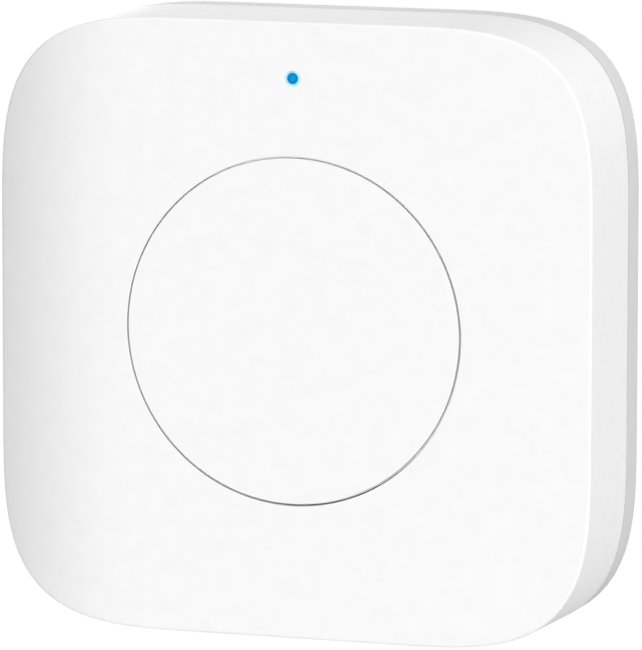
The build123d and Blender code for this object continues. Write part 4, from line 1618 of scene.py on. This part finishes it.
@dataclass
class CoinCell:
    """The coin cell and what is inside it."""

    skin: float = 0.25  # Thickness of its steel
    can_bevel: float = 0.15  # Width of the bevel inside the can
    cap_bevel: float = 0.2  # Width of the bevel inside the cap
    # Rounds of the can's rim, of its bottom and of the cap: how far each corner lies from side and end
    rim_round: tuple = ((0.04, 0.03), (0, 0.12))
    bottom_round: tuple = ((0, 0.42), (0.06, 0.2), (0.2, 0.06), (0.42, 0))
    cap_round: tuple = ((0, 0.4), (0.06, 0.18), (0.2, 0.05), (0.4, 0))
    ring: float = 8.3  # Radius of the fine ring pressed into the can
    cap_ring: float = 7.7  # Radius of the one in the cap
    groove: float = 0.05  # Depth of these rings
    groove_width: float = 0.33  # Their width
    groove_slope: float = 0.08  # Width of each of their slopes
    gasket_edge: float = 0.05  # Width of the gasket's rounds
    pellet_edge: float = 0.15  # Width of the pellet's bevels
    separator_edge: float = 0.03  # Width of the separator's bevels
    lithium_edge: float = 0.1  # Width of the lithium disc's bevels

    def build(self) -> None:
        """Models the cell, from the can to the cap."""
        self.build_can()
        self.build_cap()
        box = Extent.of("cell_gasket")
        gasket = Piece.tube("cell_gasket", box.half_across, Extent.of("cell_cap").half_across, box.out,
                            CELL.middle)
        gasket.softened(self.gasket_edge, angle=60).finished(GASKET_CLEAR, "cell_gasket")
        self.build_disc("cell_pellet", PELLET_BLACK, self.pellet_edge)
        self.build_disc("cell_separator", SEPARATOR_WHITE, self.separator_edge)
        self.build_disc("cell_lithium", LITHIUM_GREY, self.lithium_edge)

    def build_can(self) -> None:
        """Models the can with its rounded bottom edge and its turned-in rim."""
        low, rim, radius = CELL.back, CELL.front, CELL.half_across
        inner, floor = radius - self.skin, low + self.skin
        steps = [(inner - self.can_bevel, floor), (inner, floor + self.can_bevel), (inner, rim),
                 (inner + self.skin / 2, rim)]
        steps += self.rounded(self.rim_round, radius, rim, -1)
        steps += self.rounded(self.bottom_round, radius, low, 1)
        steps += self.pressed_ring(self.ring, low, 1)
        Piece.turned("cell_can", steps, CELL.middle).finished(CELL_STEEL, "cell_can")

    def build_cap(self) -> None:
        """Models the negative cap."""
        box = Extent.of("cell_cap")
        low, top, radius = box.back, box.front, box.half_across
        inner, under = radius - self.skin, top - self.skin
        steps = [(inner - self.cap_bevel, under), (inner, under - self.cap_bevel), (inner, low),
                 (radius, low)]
        steps += self.rounded(self.cap_round, radius, top, -1)
        steps += self.pressed_ring(self.cap_ring, top, -1)
        Piece.turned("cell_cap", steps, CELL.middle).finished(CELL_STEEL, "cell_cap")

    @staticmethod
    def rounded(corners: Sequence[Place], radius: float, level: float, side: int) -> list[Place]:
        """Outline of the round at a face that looks at the wall for side 1, or out of it for -1."""
        return [(radius - inset, level + side * depth) for inset, depth in corners]

    def pressed_ring(self, radius: float, level: float, side: int) -> list[Place]:
        """Outline of a fine ring pressed into a face, outwards for side 1, towards the wall for -1."""
        deep, width, slope = level + side * self.groove, self.groove_width, self.groove_slope
        return [(radius, level), (radius - slope, deep), (radius - width + slope, deep),
                (radius - width, level)]

    def build_disc(self, node: str, finish: Finish, edge: float) -> None:
        """Models one of the discs inside the cell.

        Args:
            node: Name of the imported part.
            finish: Its finish.
            edge: Width of its rounds.
        """
        box = Extent.of(node)
        radius = box.half_across
        low, high = inside(box.out, edge)
        steps = [(radius - edge, box.back), (radius, low), (radius, high), (radius - edge, box.front)]
        Piece.turned(node, steps, CELL.middle).finished(finish, node)


@dataclass
class BatteryHolder:
    """The ring that holds the cell on the back of the board, with its two contacts."""

    height: float = 3.2  # Height of the ring
    gap: float = 0.15  # Clearance round the cell
    wall: float = 1.2  # Thickness of the ring
    ledge_width: float = 1.5  # Width of the ledge on the board
    ledge_height: float = 0.35  # Its height
    finger_gap: float = 7.0  # Width of the finger gaps
    contact_gap: float = 5.0  # Width of the gap for the side contact
    hook_width: float = 3.0  # Width of a hook
    hook_height: float = 0.4  # Its height
    hook_reach: float = 0.8  # How far it reaches under the cell
    hook_gap: float = 0.02  # Clearance between hook and cell
    hook_angle: float = 32.0  # Turn of each hook from the bottom
    edge: float = 0.1  # Width of its rounds
    metal: float = 0.2  # Thickness of the contacts
    metal_width: float = 3.6  # Their width
    bend: float = 0.25  # Radius of their bends
    side_over: float = 1.5  # How far the side contact reaches over the cell
    foot: float = 1.6  # Length of its foot on the board
    # Width, height up the board and depth of the pool of solder round its foot
    pool: Point = (2.88, 0.9, 0.28)
    pool_slope: Point = (0.8, 1, 0.5)  # Size of its free face along each axis, as a share of its foot
    pool_edge: float = 0.08  # Width of its rounds
    leaf_foot: float = 2.6  # Length of the leaf spring's feet
    leaf_crown: float = 1.2  # Half length of its crown

    def __post_init__(self) -> None:
        """Reads the board's level and works out the ring's radii."""
        self.board = Extent.of("battery_holder").front
        self.low = self.board - self.height
        self.shelf = self.board - self.ledge_height
        self.bore = CELL.half_across + self.gap
        self.outer = self.bore + self.wall
        self.contact_foot = self.board - self.metal / 2

    def build(self) -> None:
        """Models the holder and its contacts."""
        self.build_ring()
        self.build_side_contact()
        self.build_leaf()

    def build_ring(self) -> None:
        """Models the ring with its gaps and hooks."""
        work = Piece.tube("battery_holder", self.outer, self.bore, (self.low, self.board))
        work.bevel_edges(rim_at(self.low), self.edge, 2)
        work.add(Piece.tube("ledge", self.outer - self.wall / 2, self.bore - self.ledge_width,
                            (self.shelf, self.board)))
        long, low = self.outer + OVERRUN, self.low - OVERRUN
        work.cut(Piece.block("gap", (-long, long), around(0, self.finger_gap), (low, self.shelf)))
        work.cut(Piece.block("gap", around(0, self.contact_gap), (0, long), (low, self.board + OVERRUN)))
        for side in SIDES:
            work.add(self.hooked().moved(turn=side * self.hook_angle - 90))
        work.moved(up=CELL.middle[1]).finished(HOLDER_BLACK, "battery_holder")

    def hooked(self) -> Piece:
        """Models one hook with its post, on the right-hand side.

        Returns:
            The piece.
        """
        high = CELL.back - self.hook_gap
        low = high - self.hook_height
        lip = Piece.tube("hook", self.outer, CELL.half_across - self.hook_reach, (low, high))
        lip.bevel_edges(rim_at(low), self.edge, 2)
        lip.add(Piece.tube("post", self.outer, self.bore,
                           (high - self.hook_height / 2, self.shelf + OVERRUN / 5)))
        key = Piece.block("key", (0, 2 * self.outer), around(0, self.hook_width), (0, self.board))
        return lip.trim(key)

    def build_side_contact(self) -> None:
        """Models the spring contact that is bent over the edge of the cell."""
        side, over, foot = self.bore + self.metal / 2, CELL.back - self.metal / 2, self.contact_foot
        points = [(side - self.side_over, over), (side, over), (side, foot), (side + self.foot, foot)]
        work = self.contact("side_contact", points).moved(turn=90).moved(up=CELL.middle[1])
        work.gather(self.solder(CELL.middle[1] + side + self.foot)).finished(CONTACT_STEEL, "side_contact")

    def build_leaf(self) -> None:
        """Models the bowed leaf spring between the board and the cell."""
        box = Extent.of("leaf_contact")
        crown, foot, end = box.back + self.metal / 2, self.contact_foot, box.half_across
        right = [(self.leaf_crown, crown), (end - self.leaf_foot, foot), (end, foot)]
        left = [(-across, out) for across, out in reversed(right)]
        work = self.contact("leaf_contact", left + right).moved(up=CELL.middle[1])
        work.finished(CONTACT_STEEL, "leaf_contact")

    def contact(self, name: str, points: Sequence[Place]) -> Piece:
        """Bends a contact from a strip of metal along its middle line."""
        strip = Piece.strip(name, points, self.metal, around(0, self.metal_width), bend=self.bend)
        return strip.dressed(CONTACT_STEEL)

    def solder(self, up: float) -> Piece:
        """Models the soft pool of solder round the side contact's foot, at its place up the board."""
        across, height, depth = self.pool
        pool = Piece.block("solder", around(0, across), around(up, height),
                           (self.board - depth, self.board))
        pool.tapered(looks_in, self.pool_slope, (0, 0, up))
        return pool.softened(self.pool_edge, 4).dressed(SOLDER)


def way_to(azimuth: float, elevation: float) -> Vector:
    """Direction to what stands this far to the right of the front and this high, in degrees."""
    turn, rise = math.radians(azimuth), math.radians(elevation)
    return Vector((math.sin(turn) * math.cos(rise), -math.cos(turn) * math.cos(rise), math.sin(rise)))


def set_up(data: bpy.types.Light | bpy.types.Camera, place: Vector, turn: Matrix) -> bpy.types.Object:
    """Sets a lamp or a camera up in the scene, at its place in millimetres."""
    stood = bpy.data.objects.new(data.name, data)
    bpy.context.scene.collection.objects.link(stood)
    stood.matrix_world = Matrix.Translation(place * MM) @ turn.to_4x4()
    return stood


@dataclass(frozen=True)
class Lamp:
    """A round lamp with a soft-edged cone."""

    name: str  # Its name
    azimuth: float  # How far it stands to the right of the front, in degrees
    elevation: float  # How high it stands, in degrees
    distance: float  # Its distance from the middle of the face, in millimetres
    share: float  # Brightness that it gives a white surface facing it
    radius: float  # Its own radius, in millimetres
    cone: float  # Full angle of its cone, in degrees
    edge: float = 1.0  # Share of the cone that its soft edge takes
    aim: Point = FACE_MIDDLE  # Point that it looks at

    def hang(self) -> None:
        """Hangs the lamp."""
        data = bpy.data.lights.new(self.name, "SPOT")
        data.energy = self.share * (2 * math.pi * self.distance * MM) ** 2
        data.shadow_soft_size = self.radius * MM
        data.spot_size = math.radians(self.cone)
        data.spot_blend = self.edge
        place = Vector(FACE_MIDDLE) + way_to(self.azimuth, self.elevation) * self.distance
        set_up(data, place, (Vector(self.aim) - place).to_track_quat("-Z", "Y").to_matrix())


@dataclass
class Studio:
    """Camera, lamps, floor and background."""

    yaw: float = 18.793  # How far the camera stands to the right, in degrees
    pitch: float = 8.259  # How far it looks down, in degrees
    roll: float = 0.081  # Its roll, in degrees
    distance: float = 503.5  # Its distance from the middle of the face, in millimetres
    aside: float = -2.049  # How far the aim lies beside the middle of the face, in millimetres
    below: float = 0.519  # How far it lies below it
    lens: float = 388.8  # Focal length, in millimetres
    sensor: float = 36.0  # Width of the sensor, in millimetres
    sight: Place = (0.01, 20.0)  # Nearest and farthest distance that it sees, in metres
    floor_drop: float = 90.0  # How far the floor lies under the button, in millimetres
    floor_side: float = 4.0  # Side of the floor, in metres
    floor_light: float = 0.55  # Brightness that the floor adds for the camera alone
    ambient: float = 0.518  # Brightness of the surroundings on the object
    # The lamps. The key lamp's soft edge falls on the left of the face
    lamps: tuple[Lamp, ...] = (
        Lamp("key", 4, 4, 1200, 0.376, 3, 57.285, 0.0472, (600, FACE_MIDDLE[1], 1.8)),
        Lamp("side", 80, 36, 1200, 0.42, 40, 30),
        Lamp("fill", 15, -35, 500, 0.06, 60, 40),
        Lamp("rear", 200, 0, 600, 0.3, 60, 40, aim=(0, 0, 0)),
    )

    def build(self) -> None:
        """Sets up the studio."""
        bpy.context.scene.view_settings.view_transform = "Standard"
        self.set_camera()
        self.light_world()
        for lamp in self.lamps:
            lamp.hang()
        self.lay_floor()

    def set_camera(self) -> None:
        """Places the camera as the photograph was taken."""
        back = way_to(self.yaw, self.pitch)
        right = way_to(self.yaw + 90, 0)
        rolled = Matrix.Rotation(math.radians(self.roll), 3, back)
        right, up = rolled @ right, rolled @ back.cross(right)
        data = bpy.data.cameras.new("camera")
        data.lens = self.lens
        data.sensor_width = self.sensor
        data.clip_start, data.clip_end = self.sight
        eye = Vector(FACE_MIDDLE) + back * self.distance - right * self.aside + up * self.below
        bpy.context.scene.camera = set_up(data, eye, Matrix((right, up, back)).transposed())

    def light_world(self) -> None:
        """White for the camera and for reflections, softer light on the object."""
        world = bpy.data.worlds.new("studio")
        bpy.context.scene.world = world
        board = NodeBoard(world)
        path = board.node("ShaderNodeLightPath")
        seen = path.outputs["Is Camera Ray"]
        for ray in ("Is Glossy Ray", "Is Transmission Ray"):
            either = board.node("ShaderNodeMath", {0: seen, 1: path.outputs[ray]}, operation="MAXIMUM")
            seen = either.outputs["Value"]
        soft, white = (
            board.node("ShaderNodeBackground", {"Color": (1, 1, 1, 1), "Strength": strength})
            for strength in (self.ambient, 1.0))
        inputs = {"Fac": seen, 1: soft.outputs["Background"], 2: white.outputs["Background"]}
        mixed = board.node("ShaderNodeMixShader", inputs)
        board.node("ShaderNodeOutputWorld", {"Surface": mixed.outputs["Shader"]})

    def lay_floor(self) -> None:
        """Lays a plain pale floor well below the button."""
        Piece.clear()
        level = -(Extent.of("front_cover").half_up + self.floor_drop) * MM
        bpy.ops.mesh.primitive_plane_add(size=self.floor_side, location=(0, 0, level))
        floor = Piece.taken("floor").part
        board = NodeBoard.shaded("floor_paper")
        ray = board.node("ShaderNodeLightPath").outputs["Is Camera Ray"]
        light = board.node("ShaderNodeMath", {0: ray, 1: self.floor_light}, operation="MULTIPLY")
        board.surface(Base_Color=(0.9, 0.9, 0.9, 1), Roughness=0.9, Specular_IOR_Level=0.0,
                      Emission_Color=(1, 1, 1, 1), Emission_Strength=light.outputs["Value"])
        floor.data.materials.append(board.look)


def main() -> None:
    """Builds the studio and the button, piece by piece."""
    logging.basicConfig(level=logging.INFO, format="%(name)s: %(message)s")
    Studio().build()
    case = Case()
    case.build_rear()
    case.build_pad()
    case.build_front()
    for unit in (PushCap(), LightPipe(), Board(case), BoardScrews(case), BoardParts(), ClickSwitch(),
                 CoinCell(), BatteryHolder()):
        unit.build()


if __name__ == "__main__":
    main()
